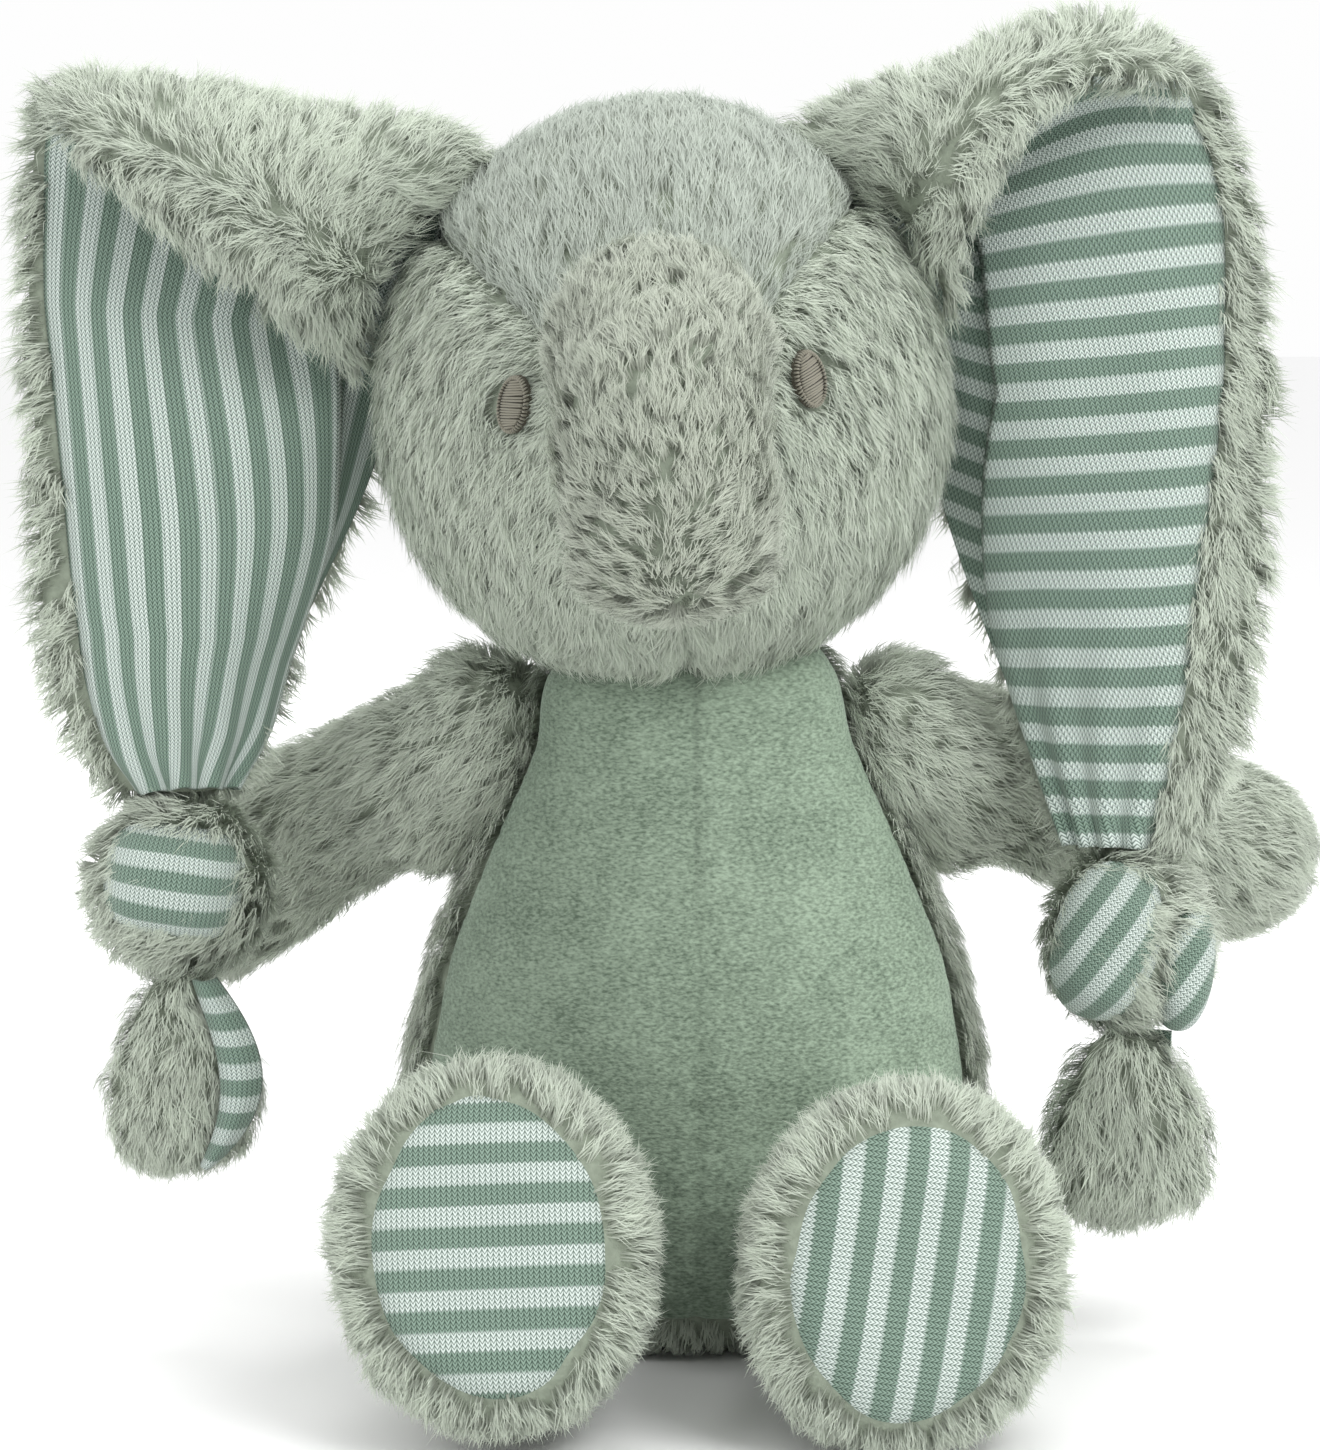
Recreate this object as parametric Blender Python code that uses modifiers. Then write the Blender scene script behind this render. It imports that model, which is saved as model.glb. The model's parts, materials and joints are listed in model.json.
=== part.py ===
"""A seated plush elephant with knotted ears, as separate fabric panels and fillings.

Metres, +Z up. The elephant faces -Y and sits on the floor with the origin at the centre of its flat
seat, so its own left side is at +X. Each soft form is first made as one closed skin. Its fabric
panels are that skin cut along the seams and given a wall, and its filling is the skin drawn inwards.
"""

import math

import bmesh
import bpy
from mathutils import Matrix, Vector

# Fabrics and clearances.
PLUSH = 0.0035
VELOUR = 0.0025
KNIT = 0.0012
SEAM_GAP = 0.0006
MERGE_NEAR_CUTS = 0.00002
FILLING_GAP = 0.0010
LAYER_GAP = 0.0004
SEWN_GAP = 0.0005

# Torso: a pear that stands on a flat seat.
TORSO_HEIGHT = 0.140
TORSO_HALF_WIDTH = 0.0615
TORSO_HALF_DEPTH = 0.050
BELLY_EDGE_Y = -0.014
SEAT_EDGE_Z = 0.009
TORSO_OUTLINE = [
    (0.0, 1.0), (0.38, 1.0), (0.50, 0.965), (0.595, 0.88), (0.735, 0.75), (0.90, 0.57),
    (0.985, 0.40), (1.0, 0.24), (0.955, 0.11), (0.82, 0.025), (0.66, 0.0), (0.0, 0.0),
]
BAG_HALF_WIDTH = 0.030
BAG_HALF_DEPTH = 0.024
BAG_HEIGHT = 0.022
BAG_GAP = 0.0008

# Head: an egg that leans to one side over the neck.
HEAD_HALF_WIDTH = 0.058
HEAD_HALF_DEPTH = 0.053
HEAD_HALF_HEIGHT = 0.0592
HEAD_JOWLS = 0.07
HEAD_SIDE = -0.007
HEAD_FORWARD = -0.011
HEAD_TILT = math.radians(5.0)
NECK_GAP = 0.0022
NECK_PIVOT_RISE = 0.012
FACE_EDGE_Y = 0.004

# Trunk, in the head's own frame: how far it reaches and hangs, and how thick it is.
TRUNK_REACH = 0.027
TRUNK_DROP = 0.033
TRUNK_ROOT_RADIUS = 0.0175
TRUNK_TIP_RADIUS = 0.0190

# Arms: a dome at the shoulder, a straight sleeve and a round paw.
ARM_ROOT_RADIUS = 0.0165
ARM_PAW_RADIUS = 0.0190
ARM_LENGTH = 0.106
SHOULDER_DROP = 0.027
SHOULDER_TURN = math.radians(9.0)
ARM_AIM = {"left": Vector((0.87, 0.35, -0.34)), "right": Vector((-0.75, 0.46, -0.48))}

# Legs: a dome at the hip, a short sleeve and an oval foot with a flat sole.
LEG_ROOT_RADIUS = 0.0200
FOOT_RADIUS = 0.0290
FOOT_TALLER = 1.18
SOLE_RADIUS = 0.0245
SOLE_DOME = 0.0035
LEG_LENGTH = 0.076
HIP_HEIGHT = 0.030
HIP_TURN = math.radians(-62.0)
FOOT_LIFT = {"left": 0.0004, "right": 0.0040}
LEG_SPLAY = 0.004
FOOT_LEAN = math.radians(7.5)

# Eyes: embroidered ovals.
EYE_WIDTH = 0.0076
EYE_HEIGHT = 0.0122
EYE_THICKNESS = 0.0012
EYE_AZIMUTH = math.radians(30.0)
EYE_ELEVATION = math.radians(2.0)

# Label sewn into the back seam.
LABEL_LENGTH = 0.016
LABEL_HEIGHT = 0.012
LABEL_THICKNESS = 0.0008
LABEL_Z = 0.022

# Ears: points from the head's side at its middle, outwards, back and up. Each row runs from the head
# outwards. The rows start at the free edge of the front fold, go up over the crest and then hang
# down behind it to the knot.
EAR_HEAD_GAP = 0.0012
LINING_INSET_INNER = 0.10
LINING_INSET_OUTER = 0.16
EAR_CAGE = {
    "right": [
        [(0.006, -0.003, 0.005), (0.025, -0.016, 0.021), (0.046, -0.019, 0.039), (0.064, -0.013, 0.053)],
        [(0.003, -0.007, 0.026), (0.022, -0.020, 0.037), (0.045, -0.021, 0.051), (0.067, -0.011, 0.058)],
        [(-0.006, 0.001, 0.048), (0.016, -0.007, 0.055), (0.043, -0.007, 0.060), (0.071, -0.002, 0.062)],
        [(-0.001, 0.015, 0.039), (0.019, 0.010, 0.042), (0.046, 0.007, 0.046), (0.074, 0.006, 0.049)],
        [(0.005, 0.017, 0.011), (0.024, 0.007, 0.013), (0.050, 0.001, 0.015), (0.075, 0.003, 0.019)],
        [(0.009, 0.014, -0.021), (0.026, 0.001, -0.021), (0.051, -0.007, -0.020), (0.073, -0.003, -0.018)],
        [(0.019, 0.005, -0.051), (0.033, -0.007, -0.052), (0.053, -0.013, -0.051), (0.071, -0.009, -0.049)],
        [(0.026, -0.005, -0.071), (0.037, -0.013, -0.072), (0.051, -0.017, -0.072), (0.065, -0.013, -0.070)],
        [(0.033, -0.013, -0.083), (0.039, -0.018, -0.083), (0.047, -0.019, -0.083), (0.055, -0.015, -0.083)],
    ],
    "left": [
        [(0.002, -0.007, 0.018), (0.008, -0.018, 0.037), (0.019, -0.017, 0.055), (0.045, -0.008, 0.063)],
        [(-0.007, -0.009, 0.039), (0.005, -0.019, 0.053), (0.024, -0.016, 0.067), (0.049, -0.005, 0.069)],
        [(-0.022, 0.005, 0.054), (-0.000, -0.002, 0.067), (0.027, -0.004, 0.078), (0.053, 0.001, 0.071)],
        [(-0.014, 0.016, 0.044), (0.007, 0.011, 0.050), (0.033, 0.007, 0.061), (0.058, 0.005, 0.060)],
        [(-0.002, 0.017, 0.028), (0.014, 0.006, 0.031), (0.039, -0.001, 0.035), (0.064, 0.000, 0.037)],
        [(0.004, 0.015, -0.001), (0.018, 0.001, -0.001), (0.043, -0.007, -0.000), (0.067, -0.004, 0.002)],
        [(0.011, 0.010, -0.036), (0.023, -0.003, -0.036), (0.045, -0.012, -0.036), (0.067, -0.008, -0.034)],
        [(0.018, 0.000, -0.068), (0.029, -0.011, -0.069), (0.047, -0.017, -0.069), (0.062, -0.013, -0.067)],
        [(0.029, -0.011, -0.095), (0.035, -0.017, -0.095), (0.043, -0.018, -0.095), (0.051, -0.014, -0.095)],
    ],
}
KNOT_GAP = 0.0025
KNOT_FORWARD = 0.0020
KNOT_HALF_WIDTH = {"right": 0.0180, "left": 0.0160}
KNOT_HALF_DEPTH = 0.0125
KNOT_HALF_HEIGHT = 0.0170
KNOT_BAND_HALF_HEIGHT = 0.0105
KNOT_BAND_WRAP = 0.35
EAR_TIP_LENGTH = {"right": 0.041, "left": 0.040}
EAR_TIP_HALF_WIDTH = {"right": 0.0140, "left": 0.0155}
EAR_TIP_HALF_DEPTH = 0.0075
EAR_TIP_GAP = 0.0012
EAR_TIP_LINED_FROM = 0.18
EAR_TIP_LINING_WRAP = 0.25
EAR_TIP_OUTLINE = [
    (0, 0), (0.34, -0.035), (0.52, -0.12), (0.72, -0.30), (0.93, -0.52),
    (1.0, -0.70), (0.90, -0.86), (0.55, -0.965), (0, -1),
]
EAR_LAYER_GAP = 0.0010

SIDES = {"left": 1.0, "right": -1.0}


def clear_scene():
    for obj in list(bpy.data.objects):
        bpy.data.objects.remove(obj)


def new_collection(name):
    made = bpy.data.collections.new(name)
    bpy.context.scene.collection.children.link(made)
    return made


def new_material(name, colour, roughness):
    made = bpy.data.materials.new(name)
    made.use_nodes = True
    shader = made.node_tree.nodes["Principled BSDF"]
    shader.inputs["Base Color"].default_value = (*colour, 1.0)
    shader.inputs["Roughness"].default_value = roughness
    shader.inputs["Metallic"].default_value = 0.0
    return made


def smooth_through(points, count):
    """Points on a Catmull-Rom curve through the given ones, count to each span."""
    ends = [points[0] * 2 - points[1], *points, points[-1] * 2 - points[-2]]
    found = []
    for a, b, c, d in zip(ends, ends[1:], ends[2:], ends[3:], strict=False):
        bend, curl = 2 * a - 5 * b + 4 * c - d, 3 * b - a - 3 * c + d
        for step in range(count):
            t = step / count
            found.append(0.5 * (2 * b + (c - a) * t + bend * t**2 + curl * t**3))
    return [*found, points[-1]]


def evaluated_mesh(obj):
    bpy.context.view_layer.update()
    graph = bpy.context.evaluated_depsgraph_get()
    made = bpy.data.meshes.new_from_object(obj.evaluated_get(graph), depsgraph=graph)
    made.transform(obj.matrix_world)
    bpy.data.objects.remove(obj)
    return made


def turned(outline, segments):
    """The closed mesh of a profile of (radius, height) points, top to bottom, turned about Z."""
    mesh = bpy.data.meshes.new("profile")
    mesh.from_pydata([(r, 0, z) for r, z in outline], [(i, i + 1) for i in range(len(outline) - 1)], [])
    obj = bpy.data.objects.new("profile", mesh)
    bpy.context.scene.collection.objects.link(obj)
    screw = obj.modifiers.new("turn", "SCREW")
    screw.steps = screw.render_steps = segments
    screw.use_merge_vertices = True
    screw.merge_threshold = 0.00001
    made = evaluated_mesh(obj)
    shape = bmesh.new()
    shape.from_mesh(made)
    bmesh.ops.remove_doubles(shape, verts=shape.verts, dist=0.00001)
    bmesh.ops.recalc_face_normals(shape, faces=shape.faces)
    shape.to_mesh(made)
    shape.free()
    return made


def add_node(name, mesh, material, parent, collection):
    obj = bpy.data.objects.new(name, mesh)
    collection.objects.link(obj)
    mesh.materials.clear()
    mesh.materials.append(material)
    obj.parent = parent
    obj.matrix_parent_inverse = parent.matrix_world.inverted()
    mesh.shade_smooth()
    return obj


def add_pivot(name, place, axis, collection):
    """An empty on a joint, with its Z along the joint's axis."""
    made = bpy.data.objects.new("pivot_" + name, None)
    made.empty_display_size = 0.02
    made.matrix_world = Matrix.Translation(place) @ Vector(axis).to_track_quat("Z", "Y").to_matrix().to_4x4()
    collection.objects.link(made)
    bpy.context.view_layer.update()
    return made


def thickened(skin, wall, outwards=False):
    """An open or closed skin given a wall on its inner or outer side."""
    obj = bpy.data.objects.new("skin", skin)
    bpy.context.scene.collection.objects.link(obj)
    solid = obj.modifiers.new("wall", "SOLIDIFY")
    solid.thickness = wall
    solid.offset = 1.0 if outwards else -1.0
    return evaluated_mesh(obj)


def panel(form, cuts, wall, outwards=False):
    """The part of a skin behind each cut, with its wall. A cut is (a point, a normal pointing away).

    Each cut leaves half a seam's gap free, and the wall is trimmed to it too.
    """
    planes = [(Vector(place) - Vector(normal).normalized() * SEAM_GAP, Vector(normal).normalized())
              for place, normal in cuts]
    shape = bmesh.new()
    shape.from_mesh(form)
    for place, away in planes:
        everything = shape.verts[:] + shape.edges[:] + shape.faces[:]
        bmesh.ops.bisect_plane(
            shape, geom=everything, dist=0.00001, plane_co=place, plane_no=away, clear_outer=True
        )
    bmesh.ops.remove_doubles(shape, verts=shape.verts, dist=MERGE_NEAR_CUTS)
    skin = bpy.data.meshes.new("panel")
    shape.to_mesh(skin)
    shape.free()
    made = thickened(skin, wall, outwards)
    for vertex in made.vertices:
        for place, away in planes:
            past = (vertex.co - place).dot(away)
            if past > 0:
                vertex.co -= away * past
    return made


def drawn_in(form, depth):
    """A copy of a closed skin with each point moved inwards along its normal."""
    mesh = form.copy()
    moved = [v.co - v.normal * depth for v in mesh.vertices]
    for vertex, place in zip(mesh.vertices, moved, strict=True):
        vertex.co = place
    return mesh


def make_panels(form, panels, wall, parent, collection):
    """panels maps each name to (its material, its cuts)."""
    for name, (material, cuts) in panels.items():
        add_node(name, panel(form, cuts, wall), material, parent, collection)


def torso_form():
    outline = [Vector((r * TORSO_HALF_WIDTH, z * TORSO_HEIGHT)) for r, z in TORSO_OUTLINE]
    mesh = turned([tuple(p) for p in outline], 24)
    mesh.transform(Matrix.Diagonal((1, TORSO_HALF_DEPTH / TORSO_HALF_WIDTH, 1, 1)))
    return mesh


def torso_surface(height, turn):
    """A point on the torso at that height, turned from its side towards the back, and its outward normal."""
    levels = [(z * TORSO_HEIGHT, r * TORSO_HALF_WIDTH) for r, z in TORSO_OUTLINE]
    for (upper, r1), (lower, r2) in zip(levels, levels[1:], strict=False):
        if lower <= height <= upper and upper > lower:
            share = (upper - height) / (upper - lower)
            radius = r1 + (r2 - r1) * share
            slope = (r2 - r1) / (upper - lower)
            break
    flat = TORSO_HALF_DEPTH / TORSO_HALF_WIDTH
    place = Vector((radius * math.cos(turn), radius * math.sin(turn) * flat, height))
    normal = Vector((math.cos(turn), math.sin(turn) / flat, slope)).normalized()
    return place, normal


def build_torso(fabrics, root, collection):
    form = torso_form()
    middle, belly, seat = Vector((0, 0, 0)), Vector((0, BELLY_EDGE_Y, 0)), Vector((0, 0, SEAT_EDGE_Z))
    front, back, down, up = Vector((0, -1, 0)), Vector((0, 1, 0)), Vector((0, 0, -1)), Vector((0, 0, 1))
    velour, plush = {}, {}
    for side, sign in SIDES.items():
        inwards = Vector((-sign, 0, 0))
        velour["belly_panel_" + side] = (fabrics["velour"], [(middle, inwards), (belly, back), (seat, down)])
        plush["back_panel_" + side] = (fabrics["plush"], [(middle, inwards), (belly, front), (seat, down)])
    plush["seat_panel"] = (fabrics["plush"], [(seat, up)])
    make_panels(form, velour, VELOUR, root, collection)
    make_panels(form, plush, PLUSH, root, collection)

    inside = drawn_in(form, PLUSH + FILLING_GAP)
    filling = add_node("torso_filling", inside, fabrics["filling"], root, collection)
    floor = PLUSH + FILLING_GAP
    bag = turned([(0, BAG_HEIGHT), (0.6, BAG_HEIGHT * 0.93), (0.93, BAG_HEIGHT * 0.6), (1, BAG_HEIGHT * 0.3),
                  (0.85, 0), (0, 0)], 16)
    bag.transform(Matrix.Translation((0, 0, floor)) @ Matrix.Diagonal((BAG_HALF_WIDTH, BAG_HALF_DEPTH, 1, 1)))
    add_node("seat_pellet_bag", bag, fabrics["filling"], root, collection)
    recess = bpy.data.objects.new("recess_cutter", drawn_in(bag, -BAG_GAP))
    cutters = bpy.data.collections["cutters"]
    cutters.objects.link(recess)
    recess.hide_render = True
    recess.display_type = "WIRE"
    cut = filling.modifiers.new("bag_recess", "BOOLEAN")
    cut.object = recess
    cut.operation = "DIFFERENCE"

    label = bpy.data.meshes.new("care_label")
    shape = bmesh.new()
    bmesh.ops.create_cube(shape, size=1.0)
    shape.to_mesh(label)
    shape.free()
    behind = torso_surface(LABEL_Z, math.pi / 2)[0].y + SEWN_GAP
    label.transform(Matrix.Translation((0, behind + LABEL_LENGTH / 2, LABEL_Z))
                    @ Matrix.Diagonal((LABEL_THICKNESS, LABEL_LENGTH, LABEL_HEIGHT, 1)))
    add_node("care_label", label, fabrics["label"], root, collection)


def head_frame():
    """From the head's own upright frame, centred in it, to the object's."""
    place = Vector((HEAD_SIDE, HEAD_FORWARD, TORSO_HEIGHT + NECK_GAP + HEAD_HALF_HEIGHT))
    return Matrix.Translation(place) @ Matrix.Rotation(-HEAD_TILT, 4, "Y")


def head_radii(height):
    """Half width and half depth of the head at a height from -1 to 1."""
    fuller = 1 - HEAD_JOWLS * height
    return HEAD_HALF_WIDTH * fuller, HEAD_HALF_DEPTH * fuller


def head_surface(azimuth, elevation):
    """A point on the head, azimuth 0 being the face, and its outward normal, in the head's frame."""
    wide, deep = head_radii(math.sin(elevation))
    across, rise = math.cos(elevation), math.sin(elevation)
    sideways, backwards = wide * across * math.sin(azimuth), -deep * across * math.cos(azimuth)
    place = Vector((sideways, backwards, HEAD_HALF_HEIGHT * rise))
    normal = Vector((place.x / wide**2, place.y / deep**2, place.z / HEAD_HALF_HEIGHT**2)).normalized()
    return place, normal


def build_head(fabrics, pivot, frame, collection):
    form = bpy.data.meshes.new("head_form")
    shape = bmesh.new()
    bmesh.ops.create_uvsphere(shape, u_segments=24, v_segments=14, radius=1.0)
    for vertex in shape.verts:
        wide, deep = head_radii(vertex.co.z)
        vertex.co = Vector((vertex.co.x * wide, vertex.co.y * deep, vertex.co.z * HEAD_HALF_HEIGHT))
    shape.to_mesh(form)
    shape.free()

    ear_edge, brow, nape = Vector((0.76, 0, 0.60)), Vector((0.30, -0.94, 0.17)), Vector((0.34, 0.94, 0.0))
    sizes = Vector((HEAD_HALF_WIDTH, HEAD_HALF_DEPTH, HEAD_HALF_HEIGHT))
    front, back = Vector((0, -1, 0)), Vector((0, 1, 0))
    split = Vector((0, FACE_EDGE_Y, 0))
    seams = {}
    for side, sign in SIDES.items():
        a, b, c = (
            Vector((p.x * sizes.x * sign, p.y * sizes.y, p.z * sizes.z))
            for p in (ear_edge, brow, nape)
        )
        outwards = (b - a).cross(c - a)
        seams[side] = (a, outwards if outwards.x * sign > 0 else -outwards)
    panels = {"forehead_gusset": (fabrics["plush"], list(seams.values()))}
    for side, sign in SIDES.items():
        at, outwards = seams[side]
        own = [(at, -outwards), (Vector((0, 0, 0)), Vector((-sign, 0, 0)))]
        panels["face_panel_" + side] = (fabrics["plush"], [*own, (split, back)])
        panels["nape_panel_" + side] = (fabrics["plush"], [*own, (split, front)])
    made = [(name, panel(form, cuts, PLUSH), material) for name, (material, cuts) in panels.items()]
    made.append(("head_filling", drawn_in(form, PLUSH + FILLING_GAP), fabrics["filling"]))
    for side, sign in SIDES.items():
        place, normal = head_surface(EYE_AZIMUTH * sign, EYE_ELEVATION)
        eye = turned([(0, 1.0), (0.82, 0.86), (1.0, 0.4), (1.0, 0.0), (0, 0)], 16)
        turn = normal.to_track_quat("Z", "Y").to_matrix().to_4x4()
        lift = Matrix.Translation(place + normal * (LAYER_GAP * 2))
        eye.transform(lift @ turn @ Matrix.Diagonal((EYE_WIDTH / 2, EYE_HEIGHT / 2, EYE_THICKNESS, 1)))
        made.append(("eye_" + side, eye, fabrics["thread"]))
    for name, mesh, material in made:
        mesh.transform(frame)
        add_node(name, mesh, material, pivot, collection)


def build_trunk(fabrics, frame, body, collection):
    """The trunk starts in a dome that its joint turns about, then bends over forwards and down."""
    root, normal = head_surface(0.0, math.radians(4.0))
    centre = root + normal * (TRUNK_ROOT_RADIUS + SEWN_GAP)
    pivot = add_pivot("trunk", frame @ centre, frame.to_3x3() @ Vector((1, 0, 0)), body)
    bends = [centre, centre + Vector((0, -0.42 * TRUNK_REACH, -0.02 * TRUNK_DROP)),
             centre + Vector((0, -0.80 * TRUNK_REACH, -0.30 * TRUNK_DROP)),
             centre + Vector((0, -0.93 * TRUNK_REACH, -0.75 * TRUNK_DROP)),
             centre + Vector((0, -0.90 * TRUNK_REACH, -1.0 * TRUNK_DROP))]
    spine = smooth_through(bends, 2)
    route = [(centre + Vector((0, math.cos(a), 0)) * TRUNK_ROOT_RADIUS, TRUNK_ROOT_RADIUS * math.sin(a))
             for a in (math.radians(8), math.radians(35), math.radians(62))]
    last = len(spine) - 1
    growth = TRUNK_TIP_RADIUS - TRUNK_ROOT_RADIUS
    route += [(p, TRUNK_ROOT_RADIUS + growth * i / last) for i, p in enumerate(spine)]
    onwards = (spine[-1] - spine[-2]).normalized()
    route += [(spine[-1] + onwards * TRUNK_TIP_RADIUS * 0.62 * math.cos(a), TRUNK_TIP_RADIUS * math.sin(a))
              for a in (math.radians(60), math.radians(35), math.radians(10))]
    form = tube("trunk_form", route, 4)
    form.transform(frame)
    sideways = frame.to_3x3() @ Vector((1, 0, 0))
    middle = frame @ centre
    panels = {
        "trunk_panel_" + side: (fabrics["plush"], [(middle, -sideways * sign)])
        for side, sign in SIDES.items()
    }
    make_panels(form, panels, PLUSH, pivot, collection)
    add_node("trunk_filling", drawn_in(form, PLUSH + FILLING_GAP), fabrics["filling"], pivot, collection)


def tube(name, route, resolution):
    """A closed round tube through (place, radius) pairs."""
    data = bpy.data.curves.new(name, "CURVE")
    data.dimensions = "3D"
    data.bevel_depth = 1.0
    data.bevel_resolution = resolution
    data.use_fill_caps = True
    data.twist_mode = "MINIMUM"
    spline = data.splines.new("POLY")
    spline.points.add(len(route) - 1)
    for point, (place, radius) in zip(spline.points, route, strict=True):
        point.co = (*place, 1.0)
        point.radius = radius
    obj = bpy.data.objects.new(name, data)
    bpy.context.scene.collection.objects.link(obj)
    made = evaluated_mesh(obj)
    shape = bmesh.new()
    shape.from_mesh(made)
    bmesh.ops.remove_doubles(shape, verts=shape.verts, dist=0.00001)
    bmesh.ops.recalc_face_normals(shape, faces=shape.faces)
    shape.to_mesh(made)
    shape.free()
    return made


def dome(radius, start, angles):
    """Profile points of a dome whose centre is at that height, for angles measured from the pole."""
    return [(radius * math.sin(math.radians(a)), start + radius * math.cos(math.radians(a))) for a in angles]


def aimed(place, aim, up=Vector((0, 0, 1))):
    """A frame at place with its Z along aim and its Y as near up as it can be."""
    z = aim.normalized()
    x = up.cross(z).normalized()
    turn = Matrix((x, z.cross(x), z)).transposed().to_4x4()
    return Matrix.Translation(place) @ turn


def build_arm(side, fabrics, body, collection):
    sign = SIDES[side]
    turn = SHOULDER_TURN if sign > 0 else math.pi - SHOULDER_TURN
    surface, normal = torso_surface(TORSO_HEIGHT - SHOULDER_DROP, turn)
    shoulder = surface + normal * (ARM_ROOT_RADIUS + SEWN_GAP)
    paw = ARM_LENGTH - ARM_ROOT_RADIUS - ARM_PAW_RADIUS
    outline = dome(ARM_PAW_RADIUS, paw, (0, 30, 60, 90))
    outline += [(ARM_ROOT_RADIUS + (ARM_PAW_RADIUS - ARM_ROOT_RADIUS) * s, paw * s) for s in (0.72, 0.36)]
    outline += dome(ARM_ROOT_RADIUS, 0, (90, 120, 150, 180))
    form = turned(outline, 16)
    frame = aimed(shoulder, ARM_AIM[side])
    form.transform(frame)
    pivot = add_pivot("arm_" + side, shoulder, Vector((0, -sign, 0)), body)
    forwards = frame.to_3x3() @ Vector((1, 0, 0))
    forwards = forwards if forwards.y < 0 else -forwards
    panels = {"arm_front_" + side: (fabrics["plush"], [(shoulder, -forwards)]),
              "arm_rear_" + side: (fabrics["plush"], [(shoulder, forwards)])}
    make_panels(form, panels, PLUSH, pivot, collection)
    add_node("arm_filling_" + side, drawn_in(form, PLUSH + FILLING_GAP), fabrics["filling"], pivot, collection)


def build_leg(side, fabrics, body, collection):
    sign = SIDES[side]
    turn = HIP_TURN if sign > 0 else math.pi - HIP_TURN
    surface, normal = torso_surface(HIP_HEIGHT, turn)
    hip = surface + normal * (LEG_ROOT_RADIUS + SEWN_GAP)
    reach = LEG_LENGTH - LEG_ROOT_RADIUS
    outline = [(0, reach + SOLE_DOME), (SOLE_RADIUS * 0.55, reach + SOLE_DOME * 0.75), (SOLE_RADIUS, reach)]
    outline += [(FOOT_RADIUS - 0.0010, reach - 0.0020), (FOOT_RADIUS, reach - 0.0080)]
    outline += [(FOOT_RADIUS * 0.98, reach - 0.020), (FOOT_RADIUS * 0.86, reach - 0.032)]
    outline += dome(LEG_ROOT_RADIUS, 0, (90, 120, 150, 180))
    form = turned(outline, 20)
    for vertex in form.vertices:
        share = min(1.0, max(0.0, vertex.co.z / (reach - 0.020)))
        vertex.co.y *= 1 + (FOOT_TALLER - 1) * share
    aim = Vector((sign * LEG_SPLAY, -reach, 0))
    for _ in range(6):
        frame = aimed(hip, aim, Vector((sign * math.tan(FOOT_LEAN), 0, 1)))
        aim.z += FOOT_LIFT[side] - min((frame @ vertex.co).z for vertex in form.vertices)
    form.transform(frame)
    pivot = add_pivot("leg_" + side, hip, Vector((-1, 0, 0)), body)
    onwards = aim.normalized()
    rim = hip + onwards * (reach - 0.0004)
    upwards = frame.to_3x3() @ Vector((0, 1, 0))
    sleeve = {"leg_top_" + side: (fabrics["plush"], [(rim, onwards), (hip, -upwards)]),
              "leg_under_" + side: (fabrics["plush"], [(rim, onwards), (hip, upwards)])}
    make_panels(form, sleeve, PLUSH, pivot, collection)
    make_panels(form, {"foot_sole_" + side: (fabrics["knit"], [(rim, -onwards)])}, KNIT, pivot, collection)
    add_node("leg_filling_" + side, drawn_in(form, PLUSH + FILLING_GAP), fabrics["filling"], pivot, collection)


def ear_rows(side):
    """The ear's cage in the object's frame, with every point kept clear of the head."""
    centre = head_frame().translation
    wall = PLUSH + EAR_HEAD_GAP
    limits = Vector((HEAD_HALF_WIDTH + wall, HEAD_HALF_DEPTH + wall, HEAD_HALF_HEIGHT + wall))
    rows = []
    for row in EAR_CAGE[side]:
        rows.append([])
        for out, back, up in row:
            from_head = Vector((SIDES[side] * (HEAD_HALF_WIDTH + out), back, up))
            reach = Vector((a / b for a, b in zip(from_head, limits, strict=True))).length
            rows[-1].append(centre + from_head / min(1.0, reach))
    return rows


def knot_centre(rows):
    foot = sum(rows[-1], Vector()) / len(rows[-1])
    return foot - Vector((0, KNOT_FORWARD, KNOT_GAP + KNOT_HALF_HEIGHT))


def ear_sheet(cage):
    """The cage as a grid of quads."""
    columns = len(cage[0])
    mesh = bpy.data.meshes.new("ear_sheet")
    corners = [r * columns + c for r in range(len(cage) - 1) for c in range(columns - 1)]
    faces = [(i, i + 1, i + 1 + columns, i + columns) for i in corners]
    mesh.from_pydata([p for row in cage for p in row], [], faces)
    return mesh


def build_ear(side, fabrics, head, body, collection):
    sign = SIDES[side]
    cage = ear_rows(side)
    middle = (cage[0][0] + cage[2][0]) / 2
    pivot = add_pivot("ear_" + side, middle, Vector((0, 0, -sign)), body)
    plush, lining = ear_sheet(cage), ear_sheet([[narrowed(row, c) for c in range(len(row))] for row in cage])
    (lining if sign > 0 else plush).flip_normals()
    add_ear_layer("ear_back_" + side, plush, 0.0, PLUSH, fabrics["plush"], pivot, collection)
    add_ear_layer("ear_lining_" + side, lining, EAR_LAYER_GAP, KNIT, fabrics["knit"], pivot, collection)
    build_knot(side, knot_centre(cage), fabrics, pivot, collection)
    build_ear_tip(side, knot_centre(cage), fabrics, body, collection)


def narrowed(row, column):
    """The lining stops short of the plush at both side edges."""
    if column == 0:
        return row[0].lerp(row[1], LINING_INSET_INNER)
    if column == len(row) - 1:
        return row[-1].lerp(row[-2], LINING_INSET_OUTER)
    return row[column]


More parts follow.
